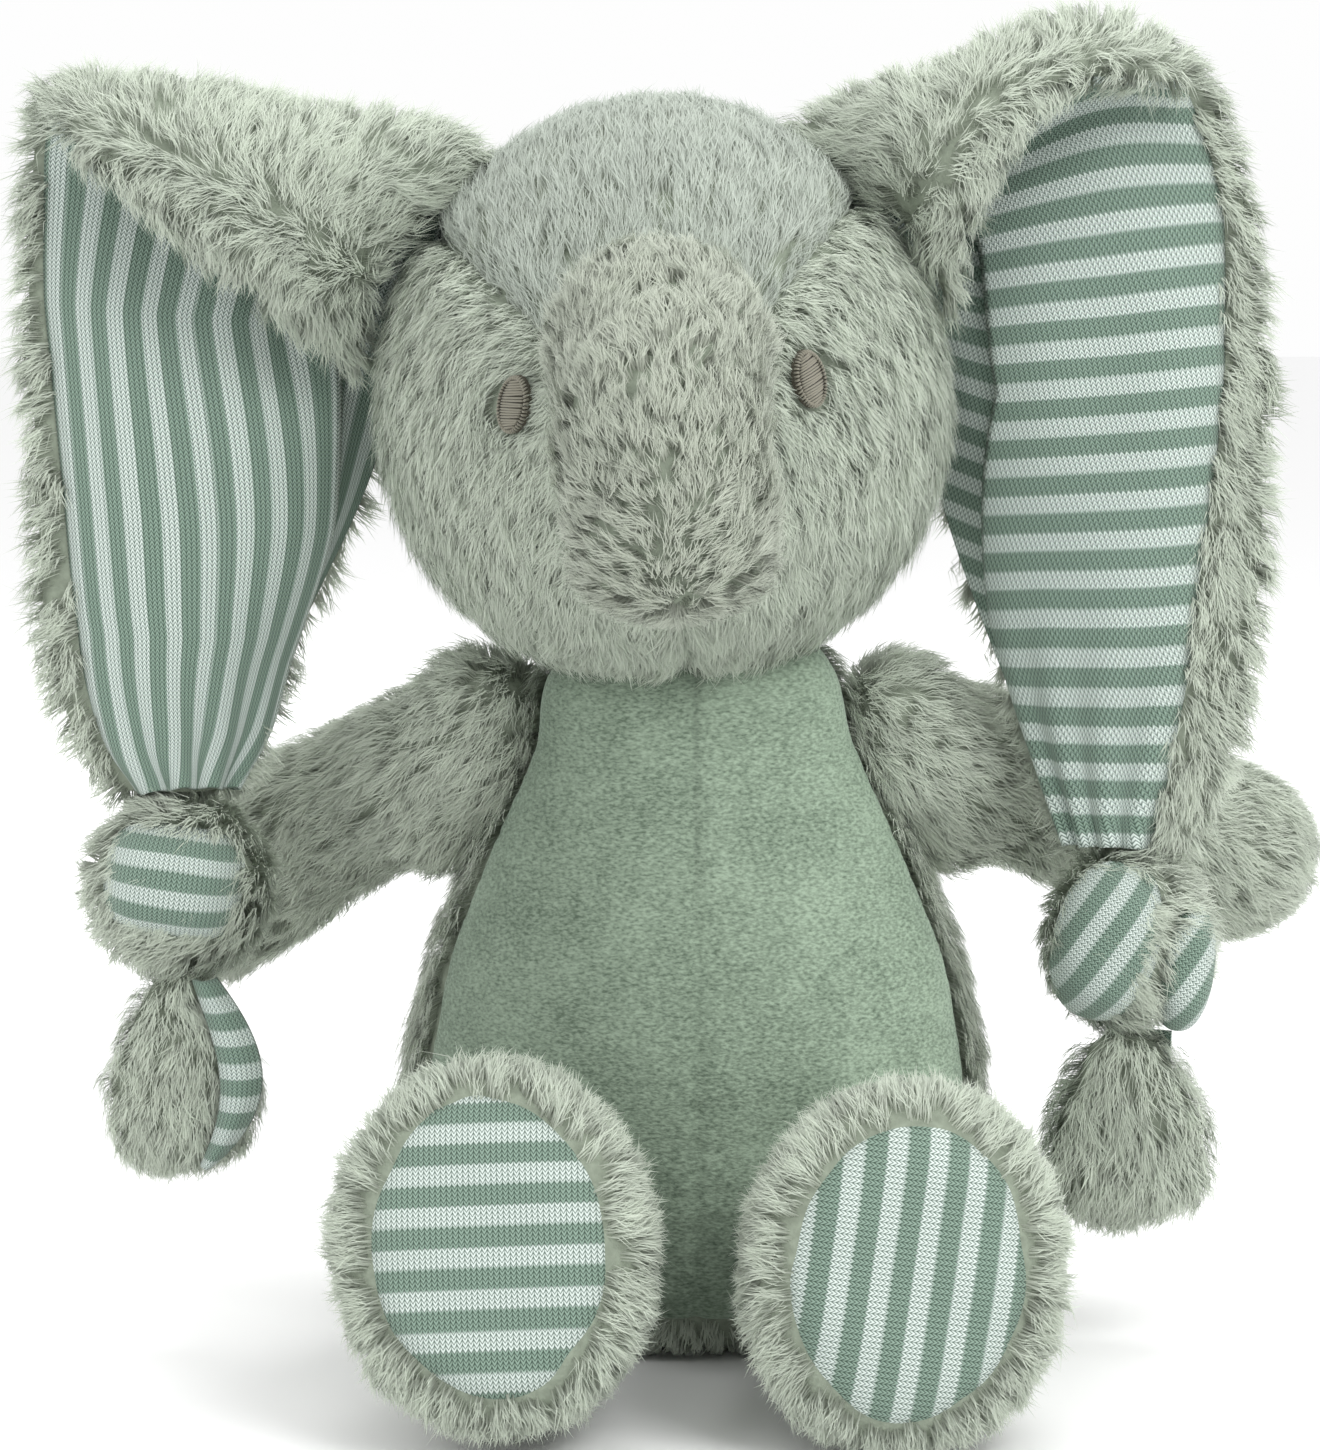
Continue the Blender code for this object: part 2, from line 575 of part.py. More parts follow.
def add_ear_layer(name, sheet, gap, wall, material, parent, collection):
    """A layer of the ear, made smooth and then thickened on the side that its sheet faces."""
    obj = bpy.data.objects.new(name, sheet)
    bpy.context.scene.collection.objects.link(obj)
    smooth = obj.modifiers.new("smooth", "SUBSURF")
    smooth.levels = smooth.render_levels = 1
    surface = drawn_in(evaluated_mesh(obj), -gap)
    add_node(name, thickened(surface, wall, outwards=True), material, parent, collection)


def build_knot(side, centre, fabrics, pivot, collection):
    """The overhand knot: a plush roll with the striped lining turned outwards round it as a band."""
    sizes = Matrix.Diagonal((KNOT_HALF_WIDTH[side], KNOT_HALF_DEPTH, KNOT_HALF_HEIGHT, 1))
    roll = turned([(r, z) for r, z in dome(1.0, 0.0, (0, 22, 45, 68, 90, 112, 135, 158, 180))], 16)
    roll.transform(Matrix.Translation(centre) @ sizes)
    band = drawn_in(roll, -LAYER_GAP)
    up, back = Vector((0, 0, 1)), Vector((0, 1, 0))
    cuts = [(centre + up * KNOT_BAND_HALF_HEIGHT, up), (centre - up * KNOT_BAND_HALF_HEIGHT, -up)]
    cuts.append((centre + back * KNOT_HALF_DEPTH * KNOT_BAND_WRAP, back))
    add_node("ear_knot_roll_" + side, roll, fabrics["plush"], pivot, collection)
    wrapped = panel(band, cuts, KNIT, outwards=True)
    add_node("ear_knot_band_" + side, wrapped, fabrics["knit"], pivot, collection)


def build_ear_tip(side, knot, fabrics, body, collection):
    """The end of the ear below its knot: a flat plush tab that hangs from a narrow neck."""
    length, half = EAR_TIP_LENGTH[side], EAR_TIP_HALF_WIDTH[side]
    top = knot - Vector((0, 0, KNOT_HALF_HEIGHT + EAR_TIP_GAP))
    tab = turned([(r * half, z * length) for r, z in EAR_TIP_OUTLINE], 16)
    tab.transform(Matrix.Translation(top) @ Matrix.Diagonal((1, EAR_TIP_HALF_DEPTH / half, 1, 1)))
    pivot = add_pivot("ear_tip_" + side, top, Vector((1, 0, 0)), body)
    lining = drawn_in(tab, -LAYER_GAP)
    up, front = Vector((0, 0, 1)), Vector((0, -1, 0))
    behind = top - front * EAR_TIP_HALF_DEPTH * EAR_TIP_LINING_WRAP
    cuts = [(behind, front), (top - up * length * EAR_TIP_LINED_FROM, up)]
    add_node("ear_tip_plush_" + side, tab, fabrics["plush"], pivot, collection)
    facing = panel(lining, cuts, KNIT, outwards=True)
    add_node("ear_tip_lining_" + side, facing, fabrics["knit"], pivot, collection)


def main():
    clear_scene()
    collection = new_collection("plush_elephant")
    body = new_collection("joints")
    new_collection("cutters").hide_render = True
    fabrics = {
        "plush": new_material("sage_plush", (0.40, 0.46, 0.40), 0.95),
        "velour": new_material("green_velour", (0.24, 0.38, 0.28), 0.80),
        "knit": new_material("striped_knit", (0.45, 0.58, 0.48), 0.90),
        "thread": new_material("taupe_thread", (0.30, 0.25, 0.21), 0.55),
        "filling": new_material("polyester_filling", (0.90, 0.90, 0.88), 0.95),
        "label": new_material("white_satin", (0.92, 0.92, 0.90), 0.45),
    }
    root = add_pivot("torso", Vector((0, 0, 0)), Vector((0, 0, 1)), body)
    build_torso(fabrics, root, collection)
    frame = head_frame()
    neck = frame @ Vector((0, 0, -HEAD_HALF_HEIGHT + NECK_PIVOT_RISE))
    head = add_pivot("head", neck, Vector((1, 0, 0)), body)
    build_head(fabrics, head, frame, collection)
    build_trunk(fabrics, frame, body, collection)
    for side in SIDES:
        build_arm(side, fabrics, body, collection)
        build_leg(side, fabrics, body, collection)
        build_ear(side, fabrics, head, body, collection)


main()
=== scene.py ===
import json
import math

import bpy
import numpy as np
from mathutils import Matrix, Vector
from mathutils.bvhtree import BVHTree


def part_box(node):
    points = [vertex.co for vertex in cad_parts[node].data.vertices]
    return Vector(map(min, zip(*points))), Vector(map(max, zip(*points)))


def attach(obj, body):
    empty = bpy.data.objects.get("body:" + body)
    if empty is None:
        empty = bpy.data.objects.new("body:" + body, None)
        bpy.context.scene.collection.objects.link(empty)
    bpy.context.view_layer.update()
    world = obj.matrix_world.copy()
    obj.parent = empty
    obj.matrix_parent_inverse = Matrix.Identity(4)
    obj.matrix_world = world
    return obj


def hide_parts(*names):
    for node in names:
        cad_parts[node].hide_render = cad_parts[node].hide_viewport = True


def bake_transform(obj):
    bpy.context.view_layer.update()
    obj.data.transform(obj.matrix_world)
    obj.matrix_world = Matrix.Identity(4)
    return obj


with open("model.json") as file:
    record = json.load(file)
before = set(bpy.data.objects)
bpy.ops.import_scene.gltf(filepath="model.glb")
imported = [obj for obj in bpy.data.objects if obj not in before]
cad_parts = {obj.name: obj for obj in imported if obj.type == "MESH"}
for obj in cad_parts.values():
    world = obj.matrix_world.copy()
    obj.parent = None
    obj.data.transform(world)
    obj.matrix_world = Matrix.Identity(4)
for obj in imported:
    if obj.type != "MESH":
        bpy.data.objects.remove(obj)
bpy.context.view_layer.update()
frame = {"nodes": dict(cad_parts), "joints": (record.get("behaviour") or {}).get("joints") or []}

joints = {j["name"]: j for j in frame["joints"]}
sides = {"left": 1.0, "right": -1.0}


# camera, light and floor

def addCamera():
    view = {"target": Vector((-0.0075, 0.0, 0.1288)), "distance": 1.12, "elevation": 7.0, "lens": 130.0}
    tilt = math.radians(view["elevation"])
    place = view["target"] + Vector((0, -math.cos(tilt), math.sin(tilt))) * view["distance"]
    bpy.ops.object.camera_add(location=place, rotation=(math.pi / 2 - tilt, 0, 0))
    bpy.context.object.data.lens = view["lens"]
    bpy.context.object.data.sensor_width = 36.0
    bpy.context.scene.camera = bpy.context.object


def addLights():
    lamps = {
        "key": {"place": (0.70, -1.0, 1.10), "power": 11.0, "size": 0.7},
        "fill": {"place": (-0.95, -0.85, 0.65), "power": 2.5, "size": 0.9},
        "top": {"place": (0.1, 0.15, 1.25), "power": 5.0, "size": 0.7},
        "back": {"place": (-0.3, 1.2, 0.7), "power": 4.0, "size": 0.9},
    }
    middle = Vector((0, 0, 0.13))
    for name, lamp in lamps.items():
        place = Vector(lamp["place"])
        turn = (middle - place).to_track_quat("-Z", "Y").to_euler()
        bpy.ops.object.light_add(type="AREA", location=place, rotation=turn)
        bpy.context.object.name = name + "Light"
        bpy.context.object.data.energy = lamp["power"]
        bpy.context.object.data.size = lamp["size"]
    world = bpy.data.worlds.new("studio")
    world.use_nodes = True
    world.node_tree.nodes["Background"].inputs["Color"].default_value = (1.0, 1.0, 1.0, 1.0)
    world.node_tree.nodes["Background"].inputs["Strength"].default_value = 0.99
    bpy.context.scene.world = world
    bpy.context.scene.view_settings.view_transform = "Standard"


def addFloor():
    bpy.ops.mesh.primitive_plane_add(size=8.0, location=(0, 0, -0.0006))
    floor = bpy.context.object
    floor.name = "floor"
    material, shader = newMaterial("paleFloor", (0.93, 0.93, 0.93), 0.9)
    floor.data.materials.append(material)


# materials

def newMaterial(name, colour, roughness):
    material = bpy.data.materials.new(name)
    material.use_nodes = True
    shader = material.node_tree.nodes["Principled BSDF"]
    shader.inputs["Base Color"].default_value = (*colour, 1.0)
    shader.inputs["Roughness"].default_value = roughness
    shader.inputs["Specular IOR Level"].default_value = 0.2
    return material, shader


def feed(tree, socket, value):
    # another node's output is linked, and a plain value is set
    if isinstance(value, bpy.types.NodeSocket):
        tree.links.new(value, socket)
    else:
        socket.default_value = value


def addNode(tree, kind, **settings):
    node = tree.nodes.new("ShaderNode" + kind)
    for key, value in settings.items():
        if key.startswith("in"):
            feed(tree, node.inputs[int(key[2:])], value)
        else:
            setattr(node, key, value)
    return node


def maths(tree, operation, *values):
    node = addNode(tree, "Math", operation=operation)
    for socket, value in zip(node.inputs, values):
        feed(tree, socket, value)
    return node.outputs[0]


def mixed(tree, first, second, factor=1.0, how="MULTIPLY"):
    mix = addNode(tree, "Mix", data_type="RGBA", blend_type=how)
    for name, value in (("Factor", factor), ("A", first), ("B", second)):
        feed(tree, mix.inputs[name], value)
    return mix.outputs["Result"]


def colourRamp(tree, stops, source):
    ramp = addNode(tree, "ValToRGB")
    while len(ramp.color_ramp.elements) < len(stops):
        ramp.color_ramp.elements.new(0.5)
    for element, (place, colour) in zip(ramp.color_ramp.elements, stops):
        element.position = place
        element.color = (*colour, 1.0)
    tree.links.new(source, ramp.inputs["Fac"])
    return ramp.outputs["Color"]


def greys(*stops):
    return [(place, (grey,) * 3) for place, grey in stops]


def uvAxes(tree):
    apart = addNode(tree, "SeparateXYZ", in0=addNode(tree, "UVMap", uv_map="OFBake").outputs["UV"])
    return apart.outputs["X"], apart.outputs["Y"]


def finishShader(tree, shader, colour, height, strength, depth):
    tree.links.new(colour, shader.inputs["Base Color"])
    bump = addNode(tree, "Bump", in0=strength, in1=depth)
    tree.links.new(height, bump.inputs["Height"])
    tree.links.new(bump.outputs["Normal"], shader.inputs["Normal"])


tuftWidth = 0.06  # how much of the tone axis one tuft covers, so that three fine hairs show across it


def pileMaterial(name, root, middle, tip):
    look = {"middleAt": 0.45, "darker": 0.84, "lighter": 1.12, "betweenHairs": 0.80, "onHairs": 1.06, "through": 0.28}
    material, shader = newMaterial(name, middle, 0.85)  # U is a tuft's tone, V runs from its root to its tip
    tree = material.node_tree
    u, v = uvAxes(tree)
    along = colourRamp(tree, [(0.0, root), (look["middleAt"], middle), (1.0, tip)], v)
    tone = colourRamp(tree, greys((0.0, look["darker"]), (1.0, look["lighter"])), u)
    hair = maths(tree, "PINGPONG", maths(tree, "MULTIPLY", u, 3.0 / tuftWidth), 0.5)
    lines = colourRamp(tree, greys((0.0, look["betweenHairs"]), (0.35, look["onHairs"])), hair)
    colour = mixed(tree, mixed(tree, along, tone), lines)
    tree.links.new(colour, shader.inputs["Base Color"])
    shader.inputs["Sheen Weight"].default_value = 0.1
    shader.inputs["Sheen Roughness"].default_value = 0.6
    # light passes through the hairs
    through = addNode(tree, "BsdfTranslucent")
    tree.links.new(colour, through.inputs["Color"])
    share = addNode(tree, "MixShader", in0=look["through"], in1=shader.outputs[0], in2=through.outputs[0])
    tree.links.new(share.outputs[0], tree.nodes["Material Output"].inputs["Surface"])
    return material


def skinMaterial(name, dark, light, size):
    material, shader = newMaterial(name, dark, 0.95)  # the woven ground under the pile
    tree = material.node_tree
    place = addNode(tree, "TexCoord").outputs["Object"]
    noise = addNode(tree, "TexNoise", in0=place, in2=1.0 / size, in3=3.0).outputs["Fac"]
    finishShader(tree, shader, colourRamp(tree, [(0.3, dark), (0.7, light)], noise), noise, 0.5, 0.001)
    return material


def velourMaterial():
    look = {
        "shade": (0.085, 0.120, 0.085), "light": (0.270, 0.345, 0.262), "napWidth": 0.0011, "napLength": 0.0005,
        "napTurn": 14.0, "napShare": 0.72, "cloudsPerMetre": 70.0, "seamReach": 0.004, "seamFrom": 0.088,
        "seamTo": 0.106, "brushedFrom": -0.030, "brushedTo": 0.046, "darkest": 0.88, "palest": 1.34,
    }
    material, shader = newMaterial("greenVelour", look["light"], 0.8)
    tree = material.node_tree
    place = addNode(tree, "TexCoord").outputs["Object"]
    fit = addNode(tree, "Mapping", in0=place)
    fit.inputs["Scale"].default_value = (1 / look["napWidth"], 1 / look["napWidth"], 1 / look["napLength"])
    fit.inputs["Rotation"].default_value = (0, math.radians(look["napTurn"]), 0)
    nap = addNode(tree, "TexNoise", in0=fit.outputs[0], in2=1.0, in3=2.0).outputs["Fac"]
    cloud = addNode(tree, "TexNoise", in0=place, in2=look["cloudsPerMetre"], in3=4.0).outputs["Fac"]
    share = maths(tree, "MULTIPLY", cloud, 1 - look["napShare"])
    both = maths(tree, "MULTIPLY_ADD", nap, look["napShare"], share)
    ramp = colourRamp(tree, [(0.32, look["shade"]), (0.64, look["light"])], both)
    x, _, z = addNode(tree, "SeparateXYZ", in0=place).outputs
    # painted sheen: the velour is painted darker on its right flank and paler towards its left flank, standing in for
    # the light and sheen on that side
    brushed = addNode(tree, "MapRange", in0=x, in1=look["brushedFrom"], in2=look["brushedTo"], in3=look["darkest"],
                      in4=look["palest"]).outputs["Result"]
    paler = addNode(tree, "VectorMath", operation="SCALE", in0=ramp, in3=brushed).outputs[0]
    # the seam down the middle shows at the top only
    away = maths(tree, "MULTIPLY", maths(tree, "ABSOLUTE", x), 1 / look["seamReach"])
    seam = colourRamp(tree, greys((0.0, 0.76), (0.09, 0.84), (0.25, 0.97), (1.0, 1.0)), away)
    fade = addNode(tree, "MapRange", in0=z, in1=look["seamFrom"], in2=look["seamTo"]).outputs["Result"]
    finishShader(tree, shader, mixed(tree, paler, seam, fade), nap, 0.55, 0.0004)
    shader.inputs["Sheen Weight"].default_value = 0.55
    shader.inputs["Sheen Roughness"].default_value = 0.45
    shader.inputs["Sheen Tint"].default_value = (0.80, 0.95, 0.82, 1.0)
    return material


knitScale = 0.16  # metres of cloth to one unit of a knit piece's UV map


def knitMaterial(name, acrossStripes):
    look = {
        "green": (0.215, 0.300, 0.245), "white": (0.56, 0.630, 0.595), "period": 0.0080, "wale": 0.00110,
        "between": (0.14, 0.19, 0.16), "onStitch": 1.14,
    }
    material, shader = newMaterial(name, look["white"], 0.9)
    tree = material.node_tree
    u, v = (maths(tree, "MULTIPLY", axis, knitScale) for axis in uvAxes(tree))
    # each wale is a column of V-shaped stitches, so the courses slope up and down across it
    slope = maths(tree, "PINGPONG", maths(tree, "DIVIDE", u, look["wale"]), 0.5)
    course = maths(tree, "ADD", maths(tree, "DIVIDE", v, look["wale"] * 0.82), maths(tree, "MULTIPLY", slope, 2.0))
    yarn = maths(tree, "MULTIPLY", maths(tree, "PINGPONG", course, 0.5), 2.0)
    bow = maths(tree, "SINE", maths(tree, "MULTIPLY", slope, math.pi))
    stitch = maths(tree, "MULTIPLY", maths(tree, "POWER", yarn, 0.8), maths(tree, "POWER", bow, 0.4))
    # the stripe's edge steps with the stitches
    ragged = maths(tree, "MULTIPLY", maths(tree, "SUBTRACT", slope, 0.25), look["wale"] * 0.9)
    across = maths(tree, "ADD", v if acrossStripes else u, ragged)
    band = maths(tree, "FRACT", maths(tree, "DIVIDE", across, look["period"]))
    edge = colourRamp(tree, greys((0.46, 0), (0.53, 1), (0.95, 1), (1.0, 0)), band)
    stripes = mixed(tree, (*look["green"], 1.0), (*look["white"], 1.0), edge, how="MIX")
    # painted shade and highlight: the colour darkens into the hollows between the stitches and is lighter on their
    # crowns
    depth = colourRamp(tree, [(0.08, look["between"]), (0.62, (look["onStitch"],) * 3)], stitch)
    finishShader(tree, shader, mixed(tree, stripes, depth), stitch, 0.6, 0.0003)
    shader.inputs["Sheen Weight"].default_value = 0.15
    return material


# meshes from rows of points

def newObject(name, mesh, material):
    piece = bpy.data.objects.new(name, mesh)
    bpy.context.scene.collection.objects.link(piece)
    mesh.materials.append(material)
    mesh.shade_smooth()
    return piece


def only(piece):
    bpy.ops.object.select_all(action="DESELECT")
    piece.select_set(True)
    bpy.context.view_layer.objects.active = piece


def applyModifier(piece, kind, **settings):
    only(piece)
    modifier = piece.modifiers.new(kind.lower(), kind)
    for key, value in settings.items():
        setattr(modifier, key, value)
    bpy.ops.object.modifier_apply(modifier=modifier.name)


def layUv(mesh, flat):
    layer = mesh.uv_layers.new(name="OFBake")
    corner = np.empty(len(mesh.loops), dtype=np.int32)
    mesh.loops.foreach_get("vertex_index", corner)
    layer.data.foreach_set("uv", flat.reshape(-1, 2)[corner].astype(np.float32).ravel())


def gridQuads(rows, columns):
    return [(r * columns + c, r * columns + c + 1, (r + 1) * columns + c + 1, (r + 1) * columns + c)
            for r in range(rows - 1) for c in range(columns - 1)]


def sheetMesh(name, points, uv=None):
    mesh = bpy.data.meshes.new(name)
    mesh.from_pydata(points.reshape(-1, 3).tolist(), [], gridQuads(*points.shape[:2]))
    if uv is not None:
        layUv(mesh, uv)
    return mesh


def polarMesh(name, middle, rings, uvMiddle=None, uvs=None):
    # rings of points round a middle point, closed at the middle
    count, turns = rings.shape[:2]
    mesh = bpy.data.meshes.new(name)
    faces = [(0, 1 + c, 1 + (c + 1) % turns) for c in range(turns)]
    faces += [(1 + r * turns + c, 1 + (r + 1) * turns + c, 1 + (r + 1) * turns + (c + 1) % turns,
               1 + r * turns + (c + 1) % turns) for r in range(count - 1) for c in range(turns)]
    mesh.from_pydata([tuple(middle), *map(tuple, rings.reshape(-1, 3))], [], faces)
    if uvs is not None:
        layUv(mesh, np.concatenate([[uvMiddle], uvs.reshape(-1, 2)]))
    return mesh


def evenGrid(rows, columns):
    return np.meshgrid(np.linspace(0, 1, rows), np.linspace(0, 1, columns), indexing="ij")


def discGrid(rings, turns):
    # radius and angle, with the rings closer together towards the rim
    radii = np.concatenate([[0.0], np.sin(np.linspace(0.03, 1, rings) * math.pi / 2)])
    return np.meshgrid(radii, np.arange(turns) * math.tau / turns, indexing="ij")


def smoothRows(rows, fine):
    rows = np.asarray(rows, float)  # a Catmull-Rom curve through the rows, fine points to each span
    padded = np.concatenate([2 * rows[:1] - rows[1:2], rows, 2 * rows[-1:] - rows[-2:-1]])
    found = []
    for i in range(len(rows) - 1):
        a, b, c, d = padded[i:i + 4]
        for t in np.arange(fine) / fine:
            bend, curl = 2 * a - 5 * b + 4 * c - d, 3 * b - a - 3 * c + d
            found.append(0.5 * (2 * b + (c - a) * t + bend * t**2 + curl * t**3))
    return np.array([*found, rows[-1]])


def ripple(points, size, seed, waves=7):
    rng = np.random.default_rng(seed)
    ways = rng.normal(size=(waves, 3))
    ways *= (2 * math.pi / size * rng.uniform(0.6, 1.6, waves) / np.linalg.norm(ways, axis=1))[:, None]
    return np.sin(points @ ways.T + rng.uniform(0, 2 * math.pi, waves)).mean(axis=1) * 1.8


def unit(vectors):
    return vectors / np.maximum(np.linalg.norm(vectors, axis=-1, keepdims=True), 1e-9)


# pile

def samples(piece, count, rng):
    mesh = piece.data
    mesh.calc_loop_triangles()
    corners = np.empty(len(mesh.loop_triangles) * 3, dtype=np.int32)
    mesh.loop_triangles.foreach_get("vertices", corners)
    corners = corners.reshape(-1, 3)
    areas = np.empty(len(corners))
    mesh.loop_triangles.foreach_get("area", areas)
    total = areas.sum()
    number = int(count * total)
    chosen = corners[rng.choice(len(corners), size=number, p=areas / total)]
    a, b = rng.random(number), rng.random(number)
    a, b = np.where(a + b > 1, 1 - a, a)[:, None], np.where(a + b > 1, 1 - b, b)[:, None]

    def at(values):
        return values[chosen[:, 0]] * (1 - a - b) + values[chosen[:, 1]] * a + values[chosen[:, 2]] * b
    return at(placesOf(mesh)), unit(at(normalsOf(mesh)))


def growPile(name, skin, pile, comb, material, keep=None):
    rng = np.random.default_rng(pile["seed"])
    centre, normal = samples(skin, pile["hairsPerMm2"] * 1e6 / pile["hairsInLock"], rng)
    if keep is not None:
        kept = keep(centre, normal)
        centre, normal = centre[kept], normal[kept]
    way = comb(centre, normal)
    length = pile["length"] * pile.get("lengthAt", lambda p: np.ones(len(p)))(centre)
    way = unit(way - (way * normal).sum(1)[:, None] * normal)
    side = np.cross(normal, way)
    turn = pile["stray"] * ripple(centre, pile["strayOver"], pile["seed"] + 1) + rng.normal(0, 0.11, len(centre))
    way = way * np.cos(turn)[:, None] + side * np.sin(turn)[:, None]
    tone = np.clip(0.5 + 0.20 * ripple(centre, 0.012, pile["seed"] + 2) + rng.normal(0, 0.07, len(centre)), 0, 1)
    length = length * (1 + 0.16 * rng.normal(size=len(centre)))
    rise = pile["lift"] * (1 + 0.25 * rng.normal(size=len(centre)))

    number = pile["hairsInLock"]
    way, normal, centre = (np.repeat(x, number, axis=0) for x in (way, normal, centre))
    tone, length, rise = (np.repeat(x, number) for x in (tone, length, rise))
    side = np.cross(normal, way)
    total = len(centre)
    spread = pile["lockRadius"] * np.sqrt(rng.random(total))
    angle = rng.random(total) * 2 * math.pi
    offSide, offWay = spread * np.sin(angle), spread * np.cos(angle)
    root = centre + side * offSide[:, None] + way * offWay[:, None]
    length = (length * rng.uniform(0.72, 1.12, total))[:, None]
    first = np.clip(rise + 0.50 + rng.normal(0, 0.10, total), 0.1, 1.5)[:, None]
    second = np.clip(rise * 0.45 + rng.normal(0, 0.12, total), -0.25, 1.2)[:, None]
    lean = (rng.normal(0, 0.17, total))[:, None]
    bend = root + (normal * np.sin(first) + (way + side * lean) * np.cos(first)) * length * 0.48
    bend -= side * (offSide * 0.25)[:, None]
    tip = bend + (normal * np.sin(second) + (way + side * lean * 2) * np.cos(second)) * length * 0.52
    tip -= side * (offSide * pile["clump"])[:, None]
    root = root - normal * 0.0004
    roll = rng.normal(0, 0.35, total)[:, None]
    flat = (side * np.cos(roll) + normal * np.sin(roll)) * (pile["width"] * rng.uniform(0.7, 1.2, total))[:, None] / 2

    corners = np.stack([root + flat, root - flat, bend - flat * 0.85, bend + flat * 0.85, tip], axis=1)
    corners[..., 2] = np.maximum(corners[..., 2], 0.0004)
    tone = np.clip(tone + rng.normal(0, 0.17, total), 0, 1) * 0.94
    uvs = np.zeros((total, 7, 2), dtype=np.float32)
    uvs[:, :, 0] = tone[:, None] + np.array([1, 0, 0, 1, 1, 0, 0.5]) * tuftWidth
    uvs[:, :, 1] = np.array([0, 0, 0.48, 0.48, 0.48, 0.48, 1.0])
    index = np.array([0, 1, 2, 3, 3, 2, 4], dtype=np.int32)[None] + (np.arange(total, dtype=np.int32) * 5)[:, None]
    mesh = bpy.data.meshes.new(name)
    mesh.vertices.add(total * 5)
    mesh.vertices.foreach_set("co", corners.astype(np.float32).ravel())
    mesh.loops.add(total * 7)
    mesh.loops.foreach_set("vertex_index", index.ravel())
    mesh.polygons.add(total * 2)
    starts = (np.array([0, 4], dtype=np.int32)[None] + (np.arange(total, dtype=np.int32) * 7)[:, None]).ravel()
    mesh.polygons.foreach_set("loop_start", starts)
    mesh.update(calc_edges=True)
    layer = mesh.uv_layers.new(name="OFBake")
    layer.data.foreach_set("uv", uvs.ravel())
    grown = newObject(name, mesh, material)
    # hairs are lit like the skin that they cover, each a little off it
    facing = normal + rng.normal(0, 0.13, (total, 3)) + way * 0.12
    facing = np.repeat(unit(facing)[:, None], 5, axis=1)
    mesh.normals_split_custom_set_from_vertices(facing.reshape(-1, 3).astype(np.float32))
    print(name, total, "hairs")
    return grown


# skins and the directions of their pile

def joinedSkin(name, nodes, material, voxel=0.0022, balls=(), smoothing=8, shrink=0.0):
    parts = []
    for node in nodes:
        mesh = frame["nodes"][node].data.copy()
        mesh.transform(frame["nodes"][node].matrix_world)
        part = bpy.data.objects.new(node + "Copy", mesh)
        bpy.context.scene.collection.objects.link(part)
        parts.append(part)
    for centre, radius in balls:
        bpy.ops.mesh.primitive_uv_sphere_add(radius=radius, location=centre, segments=40, ring_count=24)
        parts.append(bpy.context.object)
    bpy.ops.object.select_all(action="DESELECT")
    for part in parts:
        part.select_set(True)
    bpy.context.view_layer.objects.active = parts[0]
    bpy.ops.object.join()
    skin = bpy.context.object
    skin.name = name
    bpy.ops.object.transform_apply(location=True, rotation=True, scale=True)
    applyModifier(skin, "REMESH", mode="VOXEL", voxel_size=voxel)
    bpy.ops.object.mode_set(mode="EDIT")
    bpy.ops.mesh.select_all(action="SELECT")
    bpy.ops.mesh.separate(type="LOOSE")
    bpy.ops.object.mode_set(mode="OBJECT")
    islands = sorted(bpy.context.selected_objects, key=lambda o: len(o.data.vertices))
    skin = islands.pop()
    for island in islands:
        bpy.data.objects.remove(island)
    skin.name = name
    applyModifier(skin, "SMOOTH", factor=0.6, iterations=smoothing)
    skin.data.materials.clear()
    skin.data.materials.append(material)
    skin.data.shade_smooth()
    if shrink:
        moveAlongNormals(skin, np.full(len(skin.data.vertices), -shrink))
    return skin


def placesOf(mesh):
    places = np.empty(len(mesh.vertices) * 3)
    mesh.vertices.foreach_get("co", places)
    return places.reshape(-1, 3)


def normalsOf(mesh):
    normals = np.empty(len(mesh.vertices) * 3)
    mesh.vertex_normals.foreach_get("vector", normals)
    return normals.reshape(-1, 3)


def panelDistances(nodes):
    trees = []
    for node in nodes:
        piece = frame["nodes"][node]
        corners = [piece.matrix_world @ v.co for v in piece.data.vertices]
        trees.append(BVHTree.FromPolygons(corners, [tuple(p.vertices) for p in piece.data.polygons]))

    def distances(points):
        return np.array([[tree.find_nearest(Vector(p))[3] for tree in trees] for p in points]).reshape(-1, len(trees))
    return distances


def moveAlongNormals(piece, push):
    places = placesOf(piece.data) + normalsOf(piece.data) * push[:, None]
    piece.data.vertices.foreach_set("co", places.ravel())
    piece.data.update()


def grooved(piece, nodes, depth, width):
    # the skin sinks where two panels meet
    near = np.sort(panelDistances(nodes)(placesOf(piece.data)), axis=1)
    away = near[:, 1] - near[:, 0]
    moveAlongNormals(piece, -depth * np.exp(-(away / width)**2))


def outsideOf(skin):
    mesh = skin.data
    tree = BVHTree.FromPolygons([v.co.copy() for v in mesh.vertices], [tuple(p.vertices) for p in mesh.polygons])

    def test(p, n=None):
        found = (tree.find_nearest(Vector(q)) for q in p)
        return np.array([(Vector(q) - at).dot(way) > -0.0005 for q, (at, way, *_) in zip(p, found)], dtype=bool)
    return test


def rideOn(body, slot, *pieces):
    for piece in pieces:
        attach(piece, body)


def blendAcross(first, second, fixedAt, movesAt, slot, *pieces):
    for piece in pieces:
        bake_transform(piece)


def stuffed(skin, fill, *nodes):
    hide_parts(*nodes)


def combed(direction):
    return lambda p, n: np.broadcast_to(np.asarray(direction, float), p.shape).copy()


def cornersOf(node):
    mesh = frame["nodes"][node]
    return np.array([mesh.matrix_world @ v.co for v in mesh.data.vertices])


def middleOf(node):
    low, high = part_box(node)
    return (np.array(low) + np.array(high)) / 2


